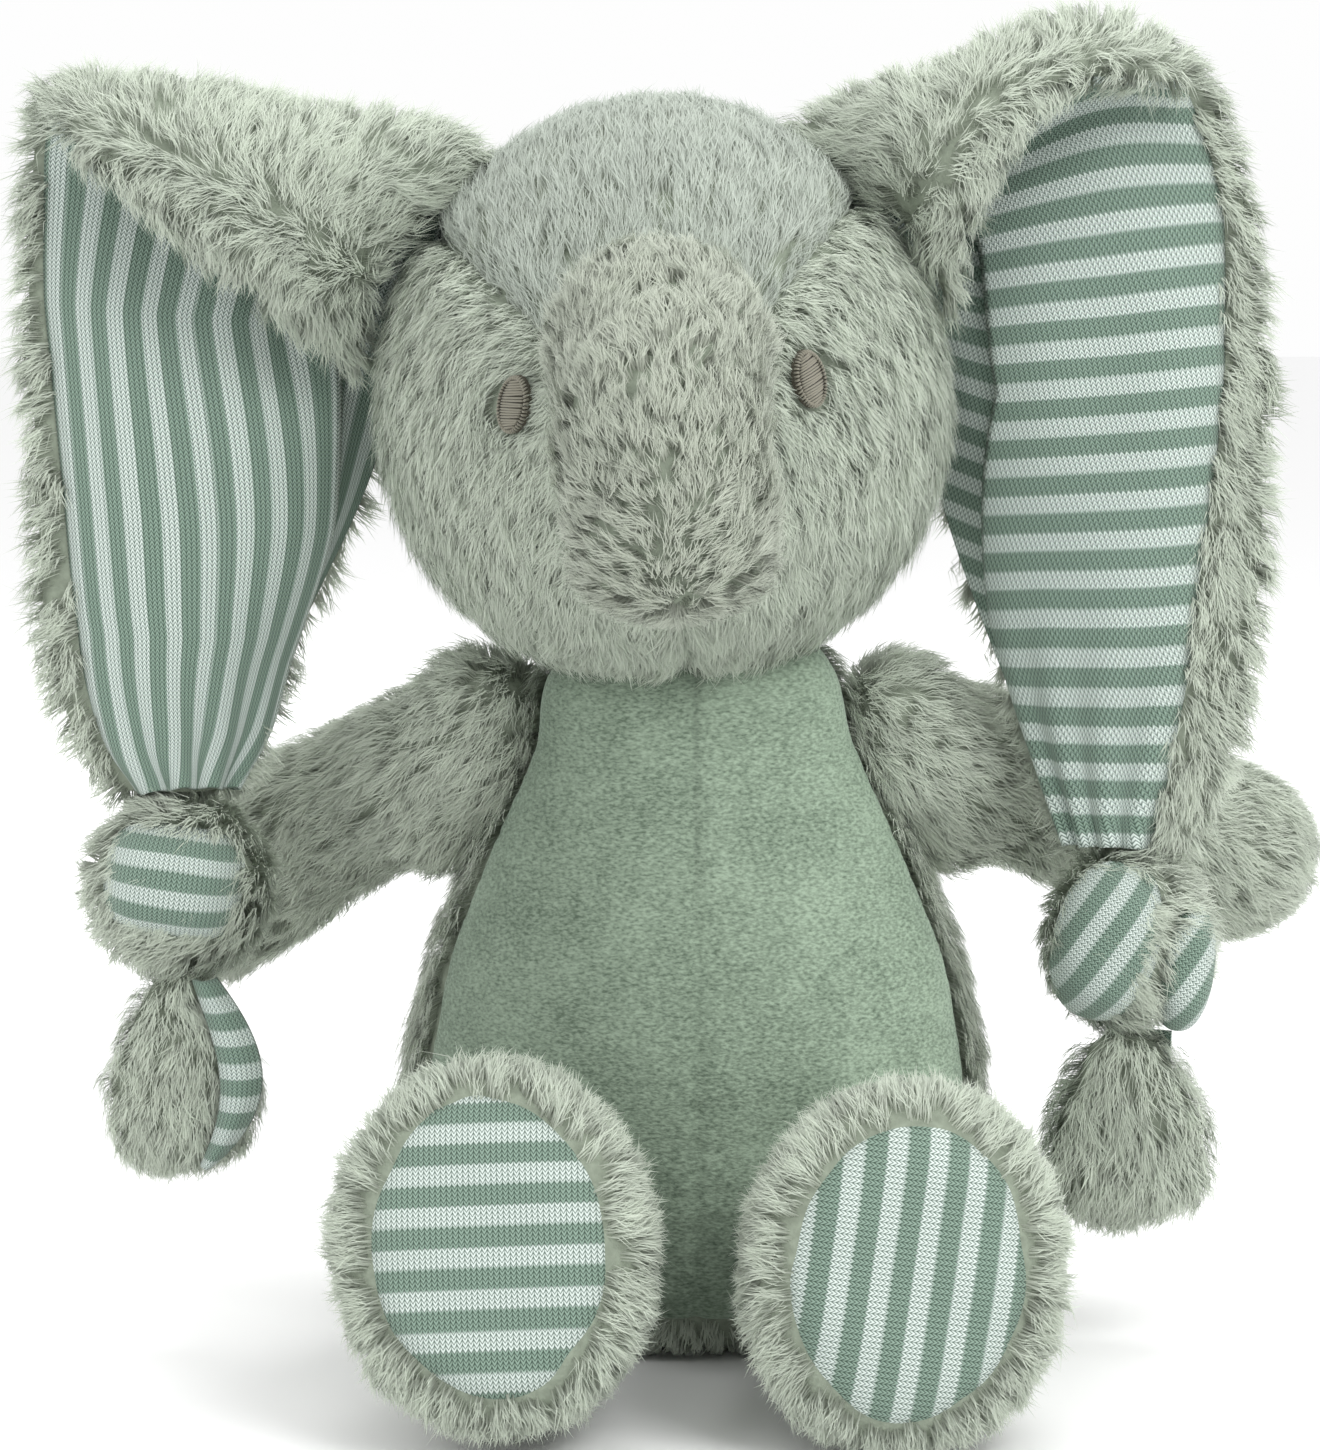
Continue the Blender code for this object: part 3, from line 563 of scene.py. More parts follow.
def farthestFrom(node, point):
    corners = cornersOf(node)
    return corners[np.argmax(np.linalg.norm(corners - np.asarray(point), axis=1))]


def jointAt(name):
    return np.array(joints[name]["pos_m"], float)


addCamera()
addLights()
addFloor()

colours = {
    "root": (0.400, 0.445, 0.360), "middle": (0.620, 0.680, 0.580), "tip": (0.715, 0.775, 0.670),
    "groundDark": (0.200, 0.230, 0.180), "groundLight": (0.270, 0.310, 0.245), "thread": (0.225, 0.213, 0.165),
}
plush = pileMaterial("sagePlush", colours["root"], colours["middle"], colours["tip"])
# painted shade: the trunk's plush is a darker copy of the sage plush, standing in for the shade that falls on the trunk
trunkPlush = pileMaterial("trunkSagePlush", (0.320, 0.350, 0.280), (0.520, 0.560, 0.475), (0.610, 0.655, 0.560))
# painted shade: the forehead gusset's plush is a darker copy of the sage plush, standing in for less light on the
# forehead
gussetPlush = pileMaterial("shadedSagePlush", colours["root"], (0.530, 0.583, 0.518), (0.590, 0.643, 0.578))
ground = skinMaterial("plushGround", colours["groundDark"], colours["groundLight"], 0.002)
velour = velourMaterial()

pileBase = {
    "hairsPerMm2": 3.8, "hairsInLock": 12, "length": 0.0074, "width": 0.00028, "lift": 0.42, "lockRadius": 0.0017,
    "clump": 0.06, "stray": 0.35, "strayOver": 0.016, "seed": 1,
}


def pile(**changes):
    return {**pileBase, **changes}


# torso

torso = {
    "bellyFront": -0.014, "bellyTilt": 0.09, "seatEdge": 0.009, "bellyOut": 0.0006, "seamDepth": 0.0010,
    "seamWidth": 0.0012, "neckTop": 0.146,
    "neck": [((x, -0.007, 0.133), 0.0190) for x in (-0.014, 0.0, 0.012)],
}
torsoNodes = ["belly_panel_left", "belly_panel_right", "back_panel_left", "back_panel_right", "seat_panel"]
torsoSkin = joinedSkin("torsoSkin", [*torsoNodes, "torso_filling", "seat_pellet_bag"], ground, balls=torso["neck"],
                       smoothing=24)


def beforeSeam(p):
    return torso["bellyFront"] + torso["bellyTilt"] * (p[:, 2] - 0.080) - p[:, 1]


def onBelly(p):
    return (beforeSeam(p) > 0) & (p[:, 2] > torso["seatEdge"])


def torsoComb(p, n):
    way = np.zeros_like(p)
    way[:, 2] = -1.0
    way[:, 1] = -0.6 * np.exp(-(beforeSeam(p) / 0.009)**2)
    way[:, 0] = 0.25 * np.sign(p[:, 0])
    return way


mesh = torsoSkin.data.copy()
mesh.materials.clear()
belly = newObject("bellyVelour", mesh, velour)
only(belly)
bpy.ops.object.mode_set(mode="EDIT")
for point, way in (((0, torso["bellyFront"] + 0.0015, 0.080), (0, 1, -torso["bellyTilt"])),
                   ((0, 0, torso["seatEdge"] - 0.0015), (0, 0, -1))):
    bpy.ops.mesh.select_all(action="SELECT")
    bpy.ops.mesh.bisect(plane_co=point, plane_no=way, clear_outer=True)
bpy.ops.object.mode_set(mode="OBJECT")
applyModifier(belly, "SUBSURF", levels=1, render_levels=1)
at = placesOf(belly.data)
edge = np.minimum(beforeSeam(at), at[:, 2] - torso["seatEdge"])
lift = 0.0022 * (1 - np.exp(-np.clip(edge, 0, 1) / 0.007)) - 0.0032 * (edge < 0.0006)
lift -= torso["seamDepth"] * np.exp(-(np.abs(at[:, 0]) / torso["seamWidth"])**1.3)
lift += 0.0007 * ripple(at * (1, 1, 0.6), 0.045, 5)
lift += 0.00022 * ripple(at * (1, 1, 2.2), 0.011, 6) * np.exp(-np.abs(at[:, 0]) / 0.012)
moveAlongNormals(belly, lift + torso["bellyOut"])
applyModifier(belly, "SUBSURF", levels=1, render_levels=1)
rideOn("torso", "velour", belly)
stuffed(belly, 0.8, "belly_panel_left", "belly_panel_right")

seatPile = growPile("seatPile", torsoSkin, pile(length=0.0050, seed=10, hairsPerMm2=1.6), combed((0, 1, -0.2)), plush,
                    keep=lambda p, n: p[:, 2] < torso["seatEdge"])
backs = []
for side, sign in sides.items():
    def onBack(p, n):
        height = p[:, 2]
        return (height >= torso["seatEdge"]) & (height < torso["neckTop"]) & (p[:, 0] * sign > 0) & ~onBelly(p)
    backs.append(growPile("backPile" + side.title(), torsoSkin, pile(seed=20 + int(sign), hairsPerMm2=3.1), torsoComb,
                          plush, keep=onBack))
rideOn("torso", "plush", torsoSkin, seatPile, *backs)
stuffed(torsoSkin, 0.8, "back_panel_left", "back_panel_right", "seat_panel", "torso_filling", "seat_pellet_bag")
print("torso done")


# head

head = {
    "seamDepth": 0.0030, "seamWidth": 0.0022, "chinBelow": 0.030, "shortBySeams": 0.50, "shortByEyes": 0.55,
    "byEyes": 0.0085, "clearOfEye": (0.0046, 0.012, 0.0068),
}
headNodes = ["forehead_gusset", "face_panel_left", "face_panel_right", "nape_panel_left", "nape_panel_right"]
headSkin = joinedSkin("headSkin", [*headNodes, "head_filling"], ground)
grooved(headSkin, headNodes, head["seamDepth"], head["seamWidth"])
headPanels = panelDistances(headNodes)
trunkRoot = jointAt("trunk_bend")
headMiddle = middleOf("head_filling")
eyes = {side: middleOf("eye_" + side) for side in sides}


def headComb(p, n):
    way = np.zeros_like(p)
    way[:, 2] = -1.0
    across = p[:, 0] - headMiddle[0]
    way[:, 0] = 0.30 * np.clip(across / 0.03, -1, 1)
    way[:, 1] = np.where(p[:, 1] > headMiddle[1], 0.3, -0.1)
    fromTrunk = p - trunkRoot
    fromTrunk[:, 1] = 0
    near = np.exp(-(np.linalg.norm(fromTrunk, axis=1) / 0.030)**2)[:, None]
    # the face panels' pile starts out from the gusset's seam
    seam = np.exp(-(headPanels(p)[:, 0] / 0.014)**2)
    way[:, 0] += np.sign(across) * seam * 0.9
    return way + unit(fromTrunk) * near * 1.0


def headLength(p):
    near = np.sort(headPanels(p), axis=1)
    chin = np.clip((headMiddle[2] - head["chinBelow"] - p[:, 2]) / 0.008, 0, 1)
    seam = 1 - np.clip((near[:, 1] - near[:, 0]) / 0.006, 0, 1)
    length = np.maximum(1 - head["shortBySeams"] * seam, chin)
    for eye in eyes.values():
        length *= 1 - head["shortByEyes"] * np.exp(-(np.linalg.norm(p - eye, axis=1) / head["byEyes"])**4)
    return length


def awayFromEyes(p):
    shape = 1 / np.array(head["clearOfEye"])
    return np.all([np.linalg.norm((p - eye) * shape, axis=1) > 1 for eye in eyes.values()], axis=0)


headPiles = []
for number, node in enumerate(headNodes):
    comb = combed((0.0, 0.8, 1.0)) if node == "forehead_gusset" else headComb
    look = pile(seed=30 + number, lengthAt=headLength, hairsPerMm2=3.3 if "nape" in node else 4.4)
    material = plush
    if node == "forehead_gusset":
        look.update(length=0.0066, lift=0.30, stray=0.15, clump=0.1, hairsPerMm2=3.4)
        material = gussetPlush
    headPiles.append(growPile(node.title().replace("_", "") + "Pile", headSkin, look, comb, material,
                              keep=lambda p, n: (np.argmin(headPanels(p), axis=1) == number) & awayFromEyes(p)))
rideOn("head", "plush", headSkin, *headPiles)
stuffed(headSkin, 0.8, *headNodes, "head_filling")
print("head done")


# eyes: threads laid side by side, with a stitched border

def threads(name, starts, ends, over, radius, material):
    rows = []
    for start, end, way in zip(starts, ends, over):
        along = unit(end - start)
        side = np.cross(along, way)
        ring = [(math.cos(a) * side + math.sin(a) * way) * radius for a in np.arange(5) * math.tau / 5]
        reach = np.linalg.norm(end - start)
        rows.append([[start + along * reach * t + way * (radius * 1.4 * math.sin(math.pi * t)) + r * size
                      for r in ring] for t, size in ((0, 0.35), (0.12, 0.9), (0.5, 1.0), (0.88, 0.9), (1, 0.35))])
    corners, faces = [], []
    for thread in rows:
        first = len(corners)
        for ring in thread:
            corners.extend(map(tuple, ring))
        for r in range(4):
            faces += [(first + r * 5 + c, first + r * 5 + (c + 1) % 5, first + r * 5 + 5 + (c + 1) % 5,
                       first + r * 5 + 5 + c) for c in range(5)]
        faces += [tuple(first + c for c in reversed(range(5))), tuple(first + 20 + c for c in range(5))]
    mesh = bpy.data.meshes.new(name)
    mesh.from_pydata(corners, [], faces)
    return newObject(name, mesh, material)


eye = {"halfWidth": 0.0037, "halfHeight": 0.0060, "lean": {"right": 12.0, "left": -14.0}, "out": 0.0016}
padMaterial, shader = newMaterial("eyePad", (0.085, 0.078, 0.060), 0.8)
threadMaterial, shader = newMaterial("eyeThread", colours["thread"], 0.45)
shader.inputs["Specular IOR Level"].default_value = 0.5
shader.inputs["Sheen Weight"].default_value = 0.2
for side, sign in sides.items():
    centre = eyes[side]
    out = unit(centre - headMiddle)
    out = unit(out - np.array([0, 0, out[2] * 0.6]))
    lean = math.radians(eye["lean"][side])
    up = unit(np.array([0, 0, 1.0]) - out * out[2])
    across = np.cross(up, out)
    up, across = up * math.cos(lean) + across * math.sin(lean), across * math.cos(lean) - up * math.sin(lean)

    def onEye(a, b, rise=0.0):
        flat = across * a * eye["halfWidth"] + up * b * eye["halfHeight"]
        return centre + flat + out * (eye["out"] - 1.2 * (a * a + b * b) * 0.00035 + rise)

    rng = np.random.default_rng(50 + int(sign))
    levels = np.linspace(-0.80, 0.80, 18)
    wide = np.sqrt(1 - levels**2) * 0.74
    starts = np.array([onEye(-w, b - 0.10, 0.0002) for w, b in zip(wide, levels)])
    ends = np.array([onEye(w, b + 0.10 + rng.normal(0, 0.02), 0.0002) for w, b in zip(wide, levels)])
    turns = np.arange(44) * math.tau / 44
    inner = np.array([onEye(0.76 * math.cos(t), 0.84 * math.sin(t), 0.0003) for t in turns])
    outer = np.array([onEye(1.02 * math.cos(t + 0.06), 1.01 * math.sin(t + 0.06), 0.0) for t in turns])
    stitches = threads("eyeThreads" + side.title(), np.concatenate([starts, inner]), np.concatenate([ends, outer]),
                       np.broadcast_to(out, (62, 3)), 0.00030, threadMaterial)
    rings = np.array([[onEye(r * math.cos(t), r * math.sin(t), -0.0012 * (r > 1))
                       for t in np.arange(40) * math.tau / 40] for r in (0.25, 0.5, 0.9, 1.0, 1.01)])
    patch = newObject("eyePatch" + side.title(), polarMesh("eyePatch", onEye(0, 0), rings), padMaterial)
    rideOn("head", "thread", stitches, patch)
    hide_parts("eye_" + side)
print("eyes done")


# trunk

trunk = {"ball": 0.0190, "ballAt": (0.0, 0.001, 0.006), "blendReach": 0.014, "out": 0.0009, "slimTip": 0.0032}
trunkTip = farthestFrom("trunk_filling", trunkRoot)
trunkSkin = joinedSkin("trunkSkin", ["trunk_panel_left", "trunk_panel_right", "trunk_filling"], ground, voxel=0.0018,
                       balls=[(tuple(trunkRoot + np.array(trunk["ballAt"])), trunk["ball"])])


def downTrunk(p):
    along = unit(trunkTip - trunkRoot)
    return along, np.clip((p - trunkRoot) @ along / np.linalg.norm(trunkTip - trunkRoot), 0, 1)


places = placesOf(trunkSkin.data)
moveAlongNormals(trunkSkin, trunk["out"] - trunk["slimTip"] * downTrunk(places)[1]**2
                 + 0.0008 * ripple(places, 0.018, 61))


def trunkComb(p, n):
    # outwards from the trunk's middle line, so that its pile parts down the front, and back near its root
    along, down = downTrunk(p)
    off = p - trunkRoot
    off -= (off @ along)[:, None] * along
    return unit(off) * 0.8 + along * (0.9 * down - 0.75)[:, None]


trunkPile = growPile("trunkPile", trunkSkin, pile(seed=60, length=0.0058, lift=0.60, stray=0.7, strayOver=0.009,
                                                  clump=0.35, lockRadius=0.0012, hairsPerMm2=4.4),
                     trunkComb, trunkPlush, keep=outsideOf(headSkin))
blendAcross("head", "trunk", trunkRoot, trunkRoot + (0, -trunk["blendReach"], -0.004), "plush", trunkSkin, trunkPile)
stuffed(trunkSkin, 0.8, "trunk_panel_left", "trunk_panel_right", "trunk_filling")
print("trunk done")


# arms and legs

def footFrame(side):
    corners = cornersOf("foot_sole_" + side)
    centre = (corners.min(0) + corners.max(0)) / 2
    spread = np.linalg.svd(corners - corners.mean(0), full_matrices=False)[2]
    out = spread[2] * -np.sign(spread[2][1])
    up = unit(np.array([0, 0, 1.0]) - out * out[2])
    across = np.cross(up, out)
    reach = [np.abs((corners - centre) @ way).max() for way in (across, up)]
    front = ((corners - centre) @ out).max()
    return centre, out, up, across, reach, front


knits = {
    "along": knitMaterial("knitAlong", False),
    "across": knitMaterial("knitAcross", True),
}
arm = {"balls": [(0.011, -0.003, 0.0165), (0.014, 0.005, 0.0140), (0.003, -0.010, 0.0145)], "blendReach": 0.018}
outsideTorso = outsideOf(torsoSkin)
leg = {"ball": 0.0200, "sink": 0.004, "blendReach": 0.018}
sole = {
    "rings": 26, "turns": 96, "puff": 0.0075, "grow": (1.07, 1.12), "lean": 7.0,
    "stripeTurn": {"right": -4.0, "left": 88.0},
}
for side, sign in sides.items():
    title = side.title()
    root = jointAt("arm_raise_" + side)
    tip = farthestFrom("arm_filling_" + side, root)
    along = unit(tip - root)
    nodes = ["arm_front_" + side, "arm_rear_" + side, "arm_filling_" + side]
    skin = joinedSkin("armSkin" + title, nodes, ground,
                      balls=[(tuple(root - along * sink + (0, 0, rise)), size) for sink, rise, size in arm["balls"]],
                      shrink=0.0015)
    moveAlongNormals(skin, 0.0009 * ripple(placesOf(skin.data), 0.035, 70 + int(sign)))

    def armComb(p, n):
        return along + np.array([0, 0, -0.25]) + 0 * p
    hair = growPile("armPile" + title, skin, pile(seed=72 + int(sign), length=0.0068), armComb, plush,
                    keep=outsideTorso)
    blendAcross("torso", "arm_" + side, root - along * 0.004, root + along * arm["blendReach"], "plush", skin, hair)
    stuffed(skin, 0.7, *nodes)

    root = jointAt("leg_raise_" + side)
    centre, out, up, across, reach, front = footFrame(side)
    lean = math.radians(sole["lean"]) * sign
    up, across = up * math.cos(lean) + across * math.sin(lean), across * math.cos(lean) - up * math.sin(lean)
    reach = np.array(reach) * sole["grow"]
    along = unit(centre - root)
    nodes = ["leg_top_" + side, "leg_under_" + side, "leg_filling_" + side]
    skin = joinedSkin("legSkin" + title, [*nodes, "foot_sole_" + side], ground,
                      balls=[(tuple(root - along * leg["sink"]), leg["ball"])])

    def legComb(p, n):
        radial = (p - centre) - ((p - centre) @ out)[:, None] * out
        facing = np.clip(n @ out, 0, 1)[:, None]
        return along * (facing - 1) * 0.9 + unit(radial) * (facing * 1.3) + np.array([0, 0, -0.15])

    def clearOfSole(p, n):
        flat = np.stack([(p - centre) @ across / reach[0], (p - centre) @ up / reach[1]], axis=1)
        ahead = (p - centre) @ out > -0.004
        return ~(ahead & (np.linalg.norm(flat, axis=1) < 0.93)) & (p[:, 2] > 0.0008) & outsideTorso(p)

    rim = np.clip(1 + ((placesOf(skin.data) - centre) @ out) / 0.02, 0, 1)
    moveAlongNormals(skin, 0.0018 * rim * np.clip(placesOf(skin.data)[:, 2] / 0.006, 0, 1))
    look = pile(seed=76 + int(sign), length=0.0062, lift=0.50, stray=0.5,
                lengthAt=lambda p: np.clip(0.45 + p[:, 2] / 0.018, 0.45, 1))
    hair = growPile("legPile" + title, skin, look, legComb, plush, keep=clearOfSole)
    blendAcross("torso", "leg_" + side, root - along * 0.004, root + along * leg["blendReach"], "plush", skin, hair)
    stuffed(skin, 0.8, *nodes)

    turn = math.radians(sole["stripeTurn"][side])
    r, t = discGrid(sole["rings"], sole["turns"])
    a, b = r * np.cos(t) * reach[0], r * np.sin(t) * reach[1]
    rise = sole["puff"] * (np.sqrt(np.clip(1 - r**3.2, 0, 1)) - 0.35) + front - 0.0013 - 0.0035 * r**8
    points = centre + a[..., None] * across + b[..., None] * up + rise[..., None] * out
    points += out * (0.0005 * ripple(points.reshape(-1, 3), 0.02, 80)).reshape(*r.shape, 1)
    flats = np.stack([0.5 + (a * math.cos(turn) + b * math.sin(turn)) / knitScale,
                      0.5 + (b * math.cos(turn) - a * math.sin(turn)) / knitScale], axis=-1)
    mesh = polarMesh("sole" + title, points[0, 0], points[1:], flats[0, 0], flats[1:])
    cover = newObject("soleKnit" + title, mesh, knits["across"])
    rideOn("leg_" + side, "knit", cover)
    stuffed(cover, 0.8, "foot_sole_" + side)
print("arms and legs done")


# ears: rows from the free edge of the front fold, over its crest, down to the knot; columns from the head outwards

cages = {
    "right": [
        [(-.071, -.014, .206), (-.090, -.027, .222), (-.111, -.030, .240), (-.129, -.024, .254)],
        [(-.068, -.018, .227), (-.087, -.031, .238), (-.110, -.032, .252), (-.132, -.022, .259)],
        [(-.059, -.010, .249), (-.081, -.018, .256), (-.108, -.018, .261), (-.136, -.013, .263)],
        [(-.064, .004, .240), (-.084, -.001, .243), (-.111, -.004, .247), (-.139, -.005, .250)],
        [(-.067, .006, .212), (-.088, -.004, .214), (-.115, -.010, .216), (-.140, -.008, .220)],
        [(-.071, .003, .180), (-.090, -.010, .180), (-.116, -.018, .181), (-.138, -.014, .183)],
        [(-.084, -.006, .150), (-.098, -.018, .149), (-.118, -.024, .150), (-.136, -.020, .152)],
        [(-.091, -.016, .130), (-.102, -.024, .129), (-.116, -.028, .129), (-.130, -.024, .131)],
        [(-.098, -.024, .1185), (-.104, -.029, .1185), (-.112, -.030, .1185), (-.120, -.026, .1185)],
    ],
    "left": [
        [(.053, -.018, .219), (.057, -.027, .242), (.075, -.026, .2650), (.099, -.017, .2660)],
        [(.044, -.020, .240), (.054, -.028, .257), (.077, -.025, .2715), (.102, -.014, .2695)],
        [(.029, -.006, .255), (.051, -.013, .268), (.078, -.015, .279), (.104, -.010, .272)],
        [(.037, .005, .245), (.058, 0, .251), (.084, -.004, .262), (.109, -.006, .261)],
        [(.045, .006, .229), (.062, -.005, .232), (.090, -.012, .236), (.115, -.011, .238)],
        [(.047, .004, .200), (.065, -.010, .200), (.094, -.018, .201), (.118, -.015, .203)],
        [(.057, -.001, .165), (.072, -.014, .165), (.096, -.023, .165), (.118, -.019, .167)],
        [(.069, -.011, .133), (.080, -.022, .132), (.098, -.028, .132), (.113, -.024, .134)],
        [(.080, -.022, .1065), (.086, -.028, .1065), (.094, -.029, .1065), (.102, -.025, .1065)],
    ],
}
ear = {
    "fineRows": 8, "fineColumns": 10, "thick": 0.0036, "rootReach": 0.018, "foldRows": 1.7,
    "liningOut": 0.0014, "mainOut": 0.0034,
}
# by cage row: how far the lining stays inside the plush, and where its main panel folds over the inner strip
earLook = {
    "left": {
        "knit": "across", "outer": [.05, .05, .05, .06, .07, .12, .20, .28, .30], "stripTilt": 0.30, "shrink": 0.0050,
        "inner": [.05, .02, 0, 0, 0, 0, 0, 0, .02], "fold": [.05, .06, .10, .24, .33, .34, .18, .03, 0],
    },
    "right": {
        "knit": "along", "outer": [.05, .05, .03, .03, .05, .09, .14, .14, .14], "shrink": 0.0010,
        "inner": [.05, .02, 0, 0, 0, 0, .02, .08, .12], "fold": [.05, .04, .04, .14, .24, .15, .04, 0, 0],
    },
}


def fineGrid(cage):
    rows = smoothRows(np.array(cage, float), ear["fineRows"])
    return smoothRows(rows.transpose(1, 0, 2), ear["fineColumns"]).transpose(1, 0, 2)


def gridNormals(points, sign):
    down, across = np.gradient(points, axis=0), np.gradient(points, axis=1)
    return unit(np.cross(across, down)) * sign


def resampled(points, rowAt, columnAt):
    # a grid of points looked up at fractional rows and columns
    r = np.clip(rowAt, 0, points.shape[0] - 1.001)
    c = np.clip(columnAt, 0, points.shape[1] - 1.001)
    r0, c0 = r.astype(int), c.astype(int)
    fr, fc = (r - r0)[..., None], (c - c0)[..., None]
    top = points[r0, c0] * (1 - fc) + points[r0, c0 + 1] * fc
    low = points[r0 + 1, c0] * (1 - fc) + points[r0 + 1, c0 + 1] * fc
    return top * (1 - fr) + low * fr


def closedPair(name, upper, lower, material):
    mesh = bpy.data.meshes.new(name)
    rows, columns = upper.shape[:2]
    count = rows * columns
    number = np.arange(count).reshape(rows, columns)
    quads = [quad for a, b, c, d in gridQuads(rows, columns)
             for quad in ((a, b, c, d), (a + count, d + count, c + count, b + count))]
    rim = [*number[0, :-1], *number[:-1, -1], *number[-1, :0:-1], *number[:0:-1, 0]]
    for a, b in zip(rim, rim[1:] + rim[:1]):
        quads.append((a, a + count, b + count, b))
    mesh.from_pydata(np.concatenate([upper.reshape(-1, 3), lower.reshape(-1, 3)]).tolist(), [],
                     [tuple(int(i) for i in quad) for quad in quads])
    piece = newObject(name, mesh, material)
    only(piece)
    bpy.ops.object.mode_set(mode="EDIT")
    bpy.ops.mesh.select_all(action="SELECT")
    bpy.ops.mesh.normals_make_consistent(inside=False)
    bpy.ops.object.mode_set(mode="OBJECT")
    return piece


def byRow(values, rowAt):
    return np.interp(rowAt / ear["fineRows"], np.arange(len(values)), values)


def liningGrid(points, plushWay, side, rows=170, columns=90):
    # the lining's main panel folds back over an inner strip near the head, so s turns back on itself there
    look = earLook[side]
    first, last = ear["foldRows"] * 0.55 * ear["fineRows"], points.shape[0] - 1
    t, s = evenGrid(rows, columns)
    rowAt = first + t * (last - first)
    inner, outer, fold = (byRow(look[key], rowAt) for key in ("inner", "outer", "fold"))
    under = np.minimum(0.07, fold * 0.6)
    strip, turn = 0.24, 0.12
    inStrip = np.clip(s / strip, 0, 1)
    inTurn = np.clip((s - strip) / turn, 0, 1)
    inMain = np.clip((s - strip - turn) / (1 - strip - turn), 0, 1)
    onCloth = inner + inStrip * (fold + under - inner) - inTurn * under + inMain * (1 - outer - fold)
    places = resampled(points, rowAt, onCloth * (points.shape[1] - 1))
    away = -resampled(plushWay, rowAt, onCloth * (points.shape[1] - 1))
    raised = 0.5 - 0.5 * np.cos(math.pi * inTurn)
    rise = ear["mainOut"] * np.clip(fold / 0.12, 0.25, 1)
    out = ear["liningOut"] * (0.3 + 0.7 * raised) + rise * raised * (1 - inMain**1.5 * 0.85)
    out += 0.0016 * np.sin(math.pi * inMain) * np.sin(math.pi * np.clip(t, 0, 1))
    out -= 0.0016 * np.clip((inMain - 0.94) / 0.06, 0, 1)
    bend = ripple(places.reshape(-1, 3) * (1, 0.3, 0.45), 0.030, 90 + len(side)).reshape(rows, columns)
    out += 0.0010 * bend * np.sin(math.pi * inMain)**0.5
    folds = np.sin(inMain * 24 + 1.5 * np.sin(t * 7)) * 0.0012 * np.clip((t - 0.72) / 0.28, 0, 1)
    return places + away * (out + folds)[..., None], t, s, inTurn


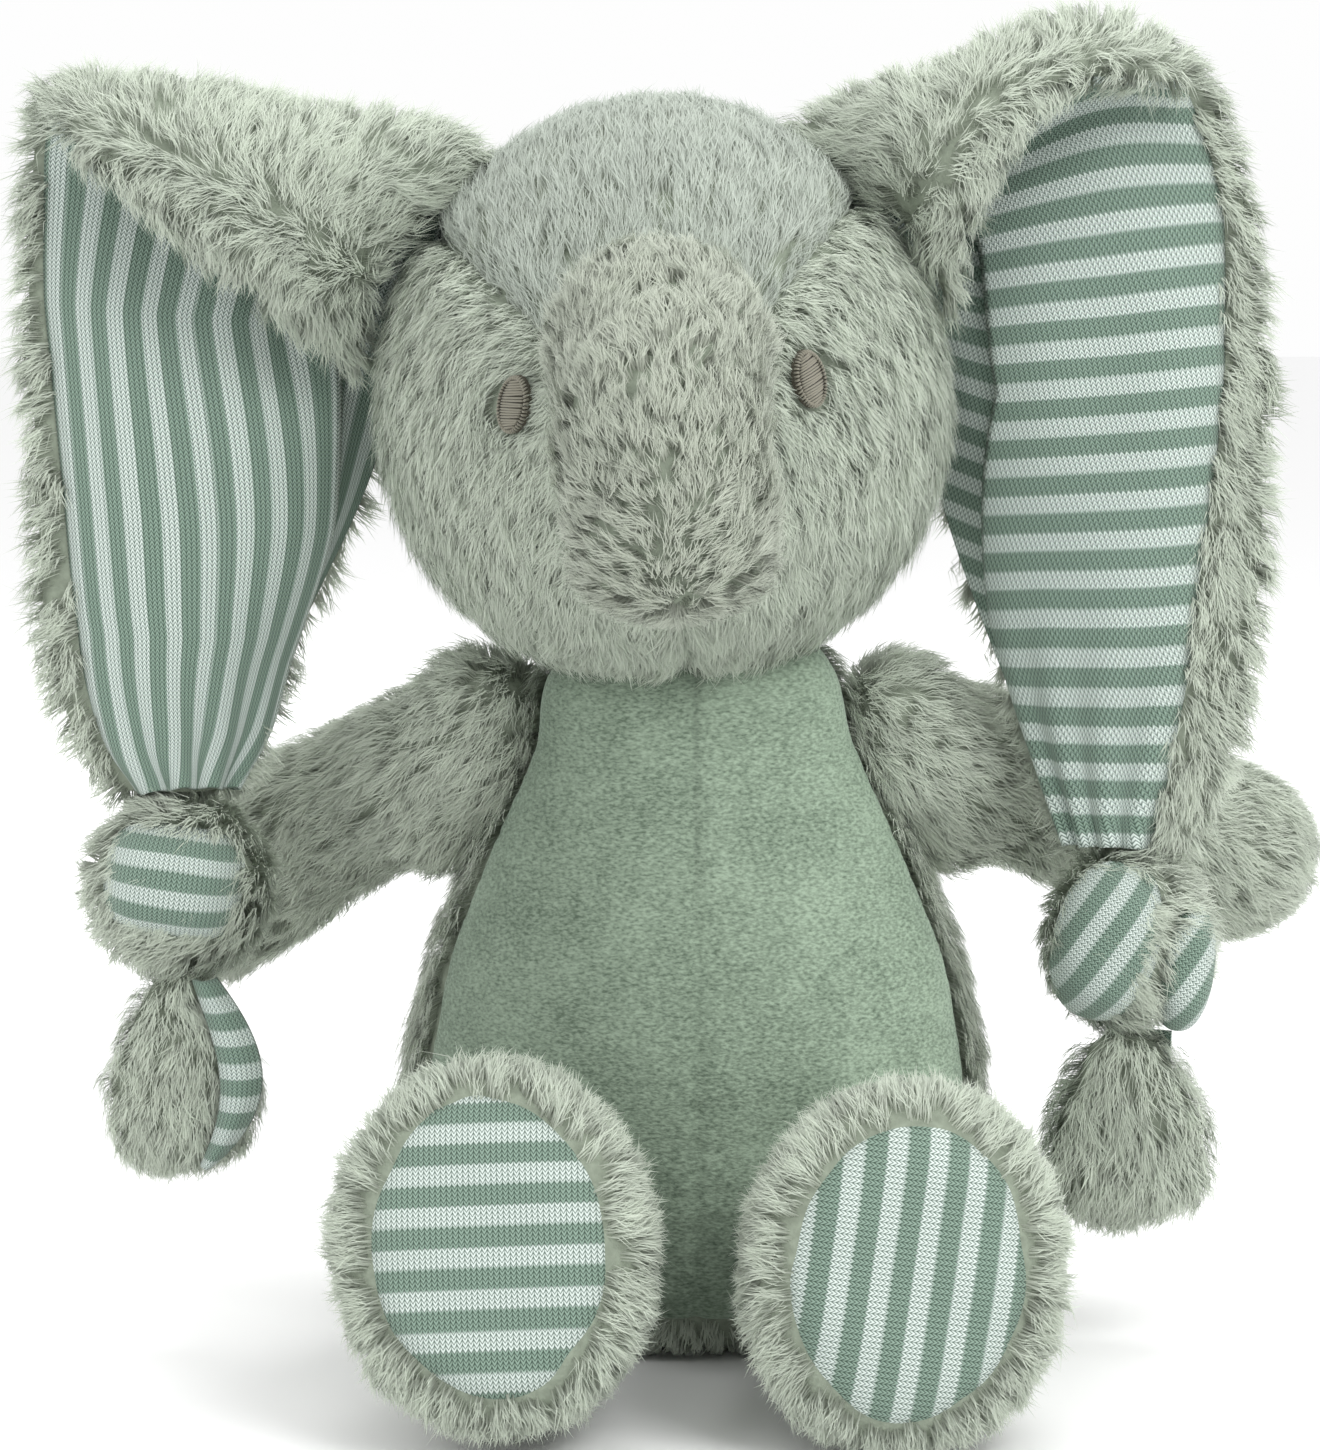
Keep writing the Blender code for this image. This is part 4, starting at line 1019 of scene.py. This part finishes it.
outsideHead = outsideOf(headSkin)
for side, sign in sides.items():
    title = side.title()
    look = earLook[side]
    points = fineGrid(cages[side])
    way = gridNormals(points, sign)
    rows, columns = points.shape[:2]
    v = np.arange(rows)[:, None] / ear["fineRows"] + np.zeros((1, columns))
    u = np.arange(columns)[None] / (columns - 1) + np.zeros((rows, 1))
    points[..., 2] -= look["shrink"] * np.exp(-((v - 2) / 1.3)**2)
    # the ear's root runs on into the head
    root = np.exp(-((v - 2.9) / 1.5)**4) * np.clip(1 - u * 3, 0, 1)
    points[..., 0] -= sign * ear["rootReach"] * root
    edge = np.minimum(u, 1 - u)
    plump = np.clip(1 - (1 - np.clip(edge / 0.16, 0, 1))**2.2, 0, 1) * np.clip(v / 0.5, 0, 1)**0.5
    plump = np.maximum(plump, 0.12)

    upper = points + way * (ear["thick"] * plump)[..., None]
    upper += way * (0.0009 * ripple(upper.reshape(-1, 3), 0.03, 100 + int(sign)).reshape(rows, columns))[..., None]
    lower = points - way * 0.0006
    skin = closedPair("earPlush" + title, upper, lower, ground)

    tree = BVHTree.FromPolygons([tuple(p) for p in points.reshape(-1, 3)], gridQuads(rows, columns))
    down, across = unit(np.gradient(points, axis=0)), unit(np.gradient(points, axis=1))

    def onGrid(p):
        face = np.array([tree.find_nearest(Vector(q))[2] for q in p], dtype=int)
        return face // (columns - 1), face % (columns - 1)

    def earComb(p, n):
        r, c = onGrid(p)
        rowOf, columnOf = v[r, c], u[r, c]
        # it hangs over the fold's free edge, and turns across the fold to run over the crest and down the back
        turned = math.pi * np.clip((rowOf - 0.45) / 0.8, 0, 1)[:, None]
        flow = -np.cos(turned) * down[r, c] + np.sin(turned) * across[r, c]
        outer = np.clip((columnOf - 0.80) / 0.2, 0, 1) - np.clip((0.16 - columnOf) / 0.16, 0, 1)
        return flow + across[r, c] * (outer * 1.2)[:, None]

    def onPlush(p, n):
        r, c = onGrid(p)
        facing = (way[r, c] * n).sum(1) > -0.25
        rowAt = v[r, c] * ear["fineRows"]
        rim = (u[r, c] > 1 - byRow(look["outer"], rowAt) * 1.15) | (u[r, c] < byRow(look["inner"], rowAt) - 0.02)
        return (facing | rim | (v[r, c] < ear["foldRows"] * 0.6)) & outsideHead(p)

    earPileLook = pile(seed=110 + int(sign), stray=0.6, length=0.0070, lift=0.55, hairsPerMm2=3.3)
    hair = growPile("earPile" + title, skin, earPileLook, earComb, plush, keep=onPlush)

    cloth, t, s, inTurn = liningGrid(points, way, side)
    spans = np.linalg.norm(np.diff(cloth, axis=0), axis=2).mean(axis=1)
    arc = np.concatenate([[0], np.cumsum(spans)])[:, None]
    width = np.linalg.norm(np.diff(cloth, axis=1), axis=2).sum(axis=1).max()
    if side == "right":
        clothU, clothV = s * width * 0.95, arc + 0 * s
    else:
        steps = np.linalg.norm(np.diff(cloth, axis=1), axis=2)
        clothU = np.concatenate([np.zeros((len(cloth), 1)), np.cumsum(steps, axis=1)], axis=1)
        clothV = arc + np.where(inTurn < 0.5, -look["stripTilt"], 0.04) * clothU
    uv = np.stack([clothU / knitScale, clothV / knitScale], axis=-1)
    lining = newObject("earLining" + title, sheetMesh("earLining", cloth, uv), knits[look["knit"]])
    applyModifier(lining, "SOLIDIFY", thickness=0.0009, offset=-sign)

    at = jointAt("ear_flap_" + side)
    blendAcross("head", "ear_" + side, at, at + (sign * 0.014, 0, 0), "plush", skin, hair)
    blendAcross("head", "ear_" + side, at, at + (sign * 0.014, 0, 0), "knit", lining)
    stuffed(skin, 0.3, "ear_back_" + side)
    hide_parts("ear_lining_" + side)
    spans = np.cross(cloth[1:, :-1] - cloth[:-1, :-1], cloth[:-1, 1:] - cloth[:-1, :-1])
print("ears done")


# the knot and the tail below it

def patchOver(name, centre, reach, turn, stripe, material, puff):
    # a puffed lobe of knit: an oval patch bulging forwards
    tuck, wrinkle = 0.004, 0.0004
    side, up, out = np.array([(1, 0, 0), (0, 0, 1), (0, -1, 0)], float)
    a0, b0 = math.cos(math.radians(turn)), math.sin(math.radians(turn))
    side, up = side * a0 + up * b0, up * a0 - side * b0
    s0, s1 = math.cos(math.radians(stripe)), math.sin(math.radians(stripe))
    r, t = discGrid(22, 72)
    c, s = np.cos(t), np.sin(t)
    square = (np.abs(c)**puff + np.abs(s)**puff)**(-1 / puff)
    a, b = r * c * square * reach[0], r * s * square * reach[1]
    rise = reach[2] * np.clip(1 - r**2.4, 0, 1)**0.55 - tuck * r**6
    points = centre + side * a[..., None] + up * b[..., None] + out * rise[..., None]
    points += out * (wrinkle * ripple(points.reshape(-1, 3), 0.012, 120)).reshape(*r.shape, 1)
    swell = 1 + 0.25 * r * r
    flats = 0.5 + np.stack([a * s0 + b * s1, b * s0 - a * s1], axis=-1) * swell[..., None] / knitScale
    return newObject(name, polarMesh(name, points[0, 0], points[1:], flats[0, 0], flats[1:]), material)


knot = {
    "right": [
        {"reach": (0.0145, 0.0120, 0.0080), "at": (0.000, -0.0100, 0.0015), "turn": -8, "stripe": 0, "square": 3.2},
    ],
    "left": [
        {"reach": (0.0115, 0.0170, 0.0085), "at": (-0.0045, -0.0085, 0.0005), "turn": -14, "stripe": 68, "square": 2.3},
        {"reach": (0.0065, 0.0140, 0.0070), "at": (0.0115, -0.0065, -0.0050), "turn": -6, "stripe": 60, "square": 2.2},
    ],
}
tail = {"right": {"length": 0.0062, "flare": 0.15}, "left": {"length": 0.0078, "flare": 0.5}}
for side, sign in sides.items():
    title = side.title()
    rollSkin = joinedSkin("knotSkin" + title, ["ear_knot_roll_" + side], ground, voxel=0.0018)
    middle = middleOf("ear_knot_roll_" + side)

    def rollComb(p, n):
        round = np.cross(np.broadcast_to((0.0, 0.0, 1.0), p.shape), p - middle)
        return unit(round) * 0.8 * sign + np.array([0, 0, -0.7])
    hair = growPile("knotPile" + title, rollSkin, pile(seed=130 + int(sign), length=0.0066, stray=0.7, lift=0.7),
                    rollComb, plush)
    lobes = []
    for number, lobe in enumerate(knot[side]):
        lobes.append(patchOver(f"knotBand{title}{number}", middle + np.array(lobe["at"]), lobe["reach"], lobe["turn"],
                               lobe["stripe"], knits["across"], lobe["square"]))
    rideOn("ear_" + side, "plush", rollSkin, hair)
    rideOn("ear_" + side, "knit", *lobes)
    stuffed(rollSkin, 0.7, "ear_knot_roll_" + side)
    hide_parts("ear_knot_band_" + side)

    tailSkin = joinedSkin("tailSkin" + title, ["ear_tip_plush_" + side, "ear_tip_lining_" + side], ground, voxel=0.0016,
                          smoothing=5)
    low, high = (np.array(c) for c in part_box("ear_tip_plush_" + side))
    moveAlongNormals(tailSkin, 0.0012 * ripple(placesOf(tailSkin.data), 0.020, 140 + int(sign)))

    def tailComb(p, n):
        spread = (p - (low + high) / 2) / (high - low)
        return np.array([0, 0, -1.0]) + spread * tail[side]["flare"] * (1, 1, 0)
    tuft = growPile("tailPile" + title, tailSkin, pile(seed=142 + int(sign), length=tail[side]["length"], stray=0.4),
                    tailComb, plush)
    rideOn("ear_tip_" + side, "plush", tailSkin, tuft)
    stuffed(tailSkin, 0.5, "ear_tip_plush_" + side)

    # a strip of the lining shows down one edge of the tail
    t, s = evenGrid(60, 14)
    height = high[2] - low[2]
    if side == "right":
        curve = np.stack([middle[0] + 0.006 + 0.0085 * np.sin(t * 2.6) - 0.004 * t**3,
                          low[1] - 0.0015 - 0.004 * np.sin(t * 2.2), high[2] - 0.001 - t * (height - 0.002)], axis=-1)
        half = 0.0042 * np.sin(math.pi * np.clip(t * 0.85 + 0.12, 0, 1))**0.6
        strip = curve + np.stack([(s - 0.5) * 2 * half, 0.0035 * (2 * s - 1)**2 + 0.001 * s, 0 * s], axis=-1)
    else:
        curve = np.stack([middle[0] + 0.004 + 0 * t, high[1] + 0.0035 * np.sin(t * 3) - 0.0015,
                          high[2] - 0.002 - t * height * 0.9], axis=-1)
        strip = curve + np.stack([(s - 0.5) * 0.0115, -0.002 * (2 * s - 1)**2, 0 * s], axis=-1)
    uv = np.stack([s * 0.010 / knitScale, t * 0.046 / knitScale], axis=-1)
    band = newObject("tailLining" + title, sheetMesh("tailLining", strip, uv), knits["across"])
    applyModifier(band, "SOLIDIFY", thickness=0.0008, offset=0)
    rideOn("ear_tip_" + side, "knit", band)
    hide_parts("ear_tip_lining_" + side)
    spans = [float(np.linalg.norm(np.diff(strip, axis=k), axis=2).sum(axis=k).mean()) for k in (1, 0)]
print("knots done")


# the care label sewn in the back seam

label = {"width": 0.016, "length": 0.012, "droop": 0.0035, "thick": 0.0005}
labelMaterial, shader = newMaterial("whiteTape", (0.82, 0.82, 0.80), 0.6)
low, high = (np.array(c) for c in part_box("care_label"))
t, s = evenGrid(13, 9)
cloth = np.stack([(low[0] + high[0]) / 2 + (s - 0.5) * label["width"] * (1 - 0.03 * t),
                  low[1] + t * (high[1] - low[1]) + 0.0004 * np.sin(s * 5),
                  (low[2] + high[2]) / 2 - label["droop"] * t**2 + 0.0006 * np.sin(s * 4 + t)], axis=-1)
tape = newObject("careTape", sheetMesh("careTape", cloth), labelMaterial)
applyModifier(tape, "SOLIDIFY", thickness=label["thick"], offset=0)
rideOn("torso", "label", tape)
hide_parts("care_label")
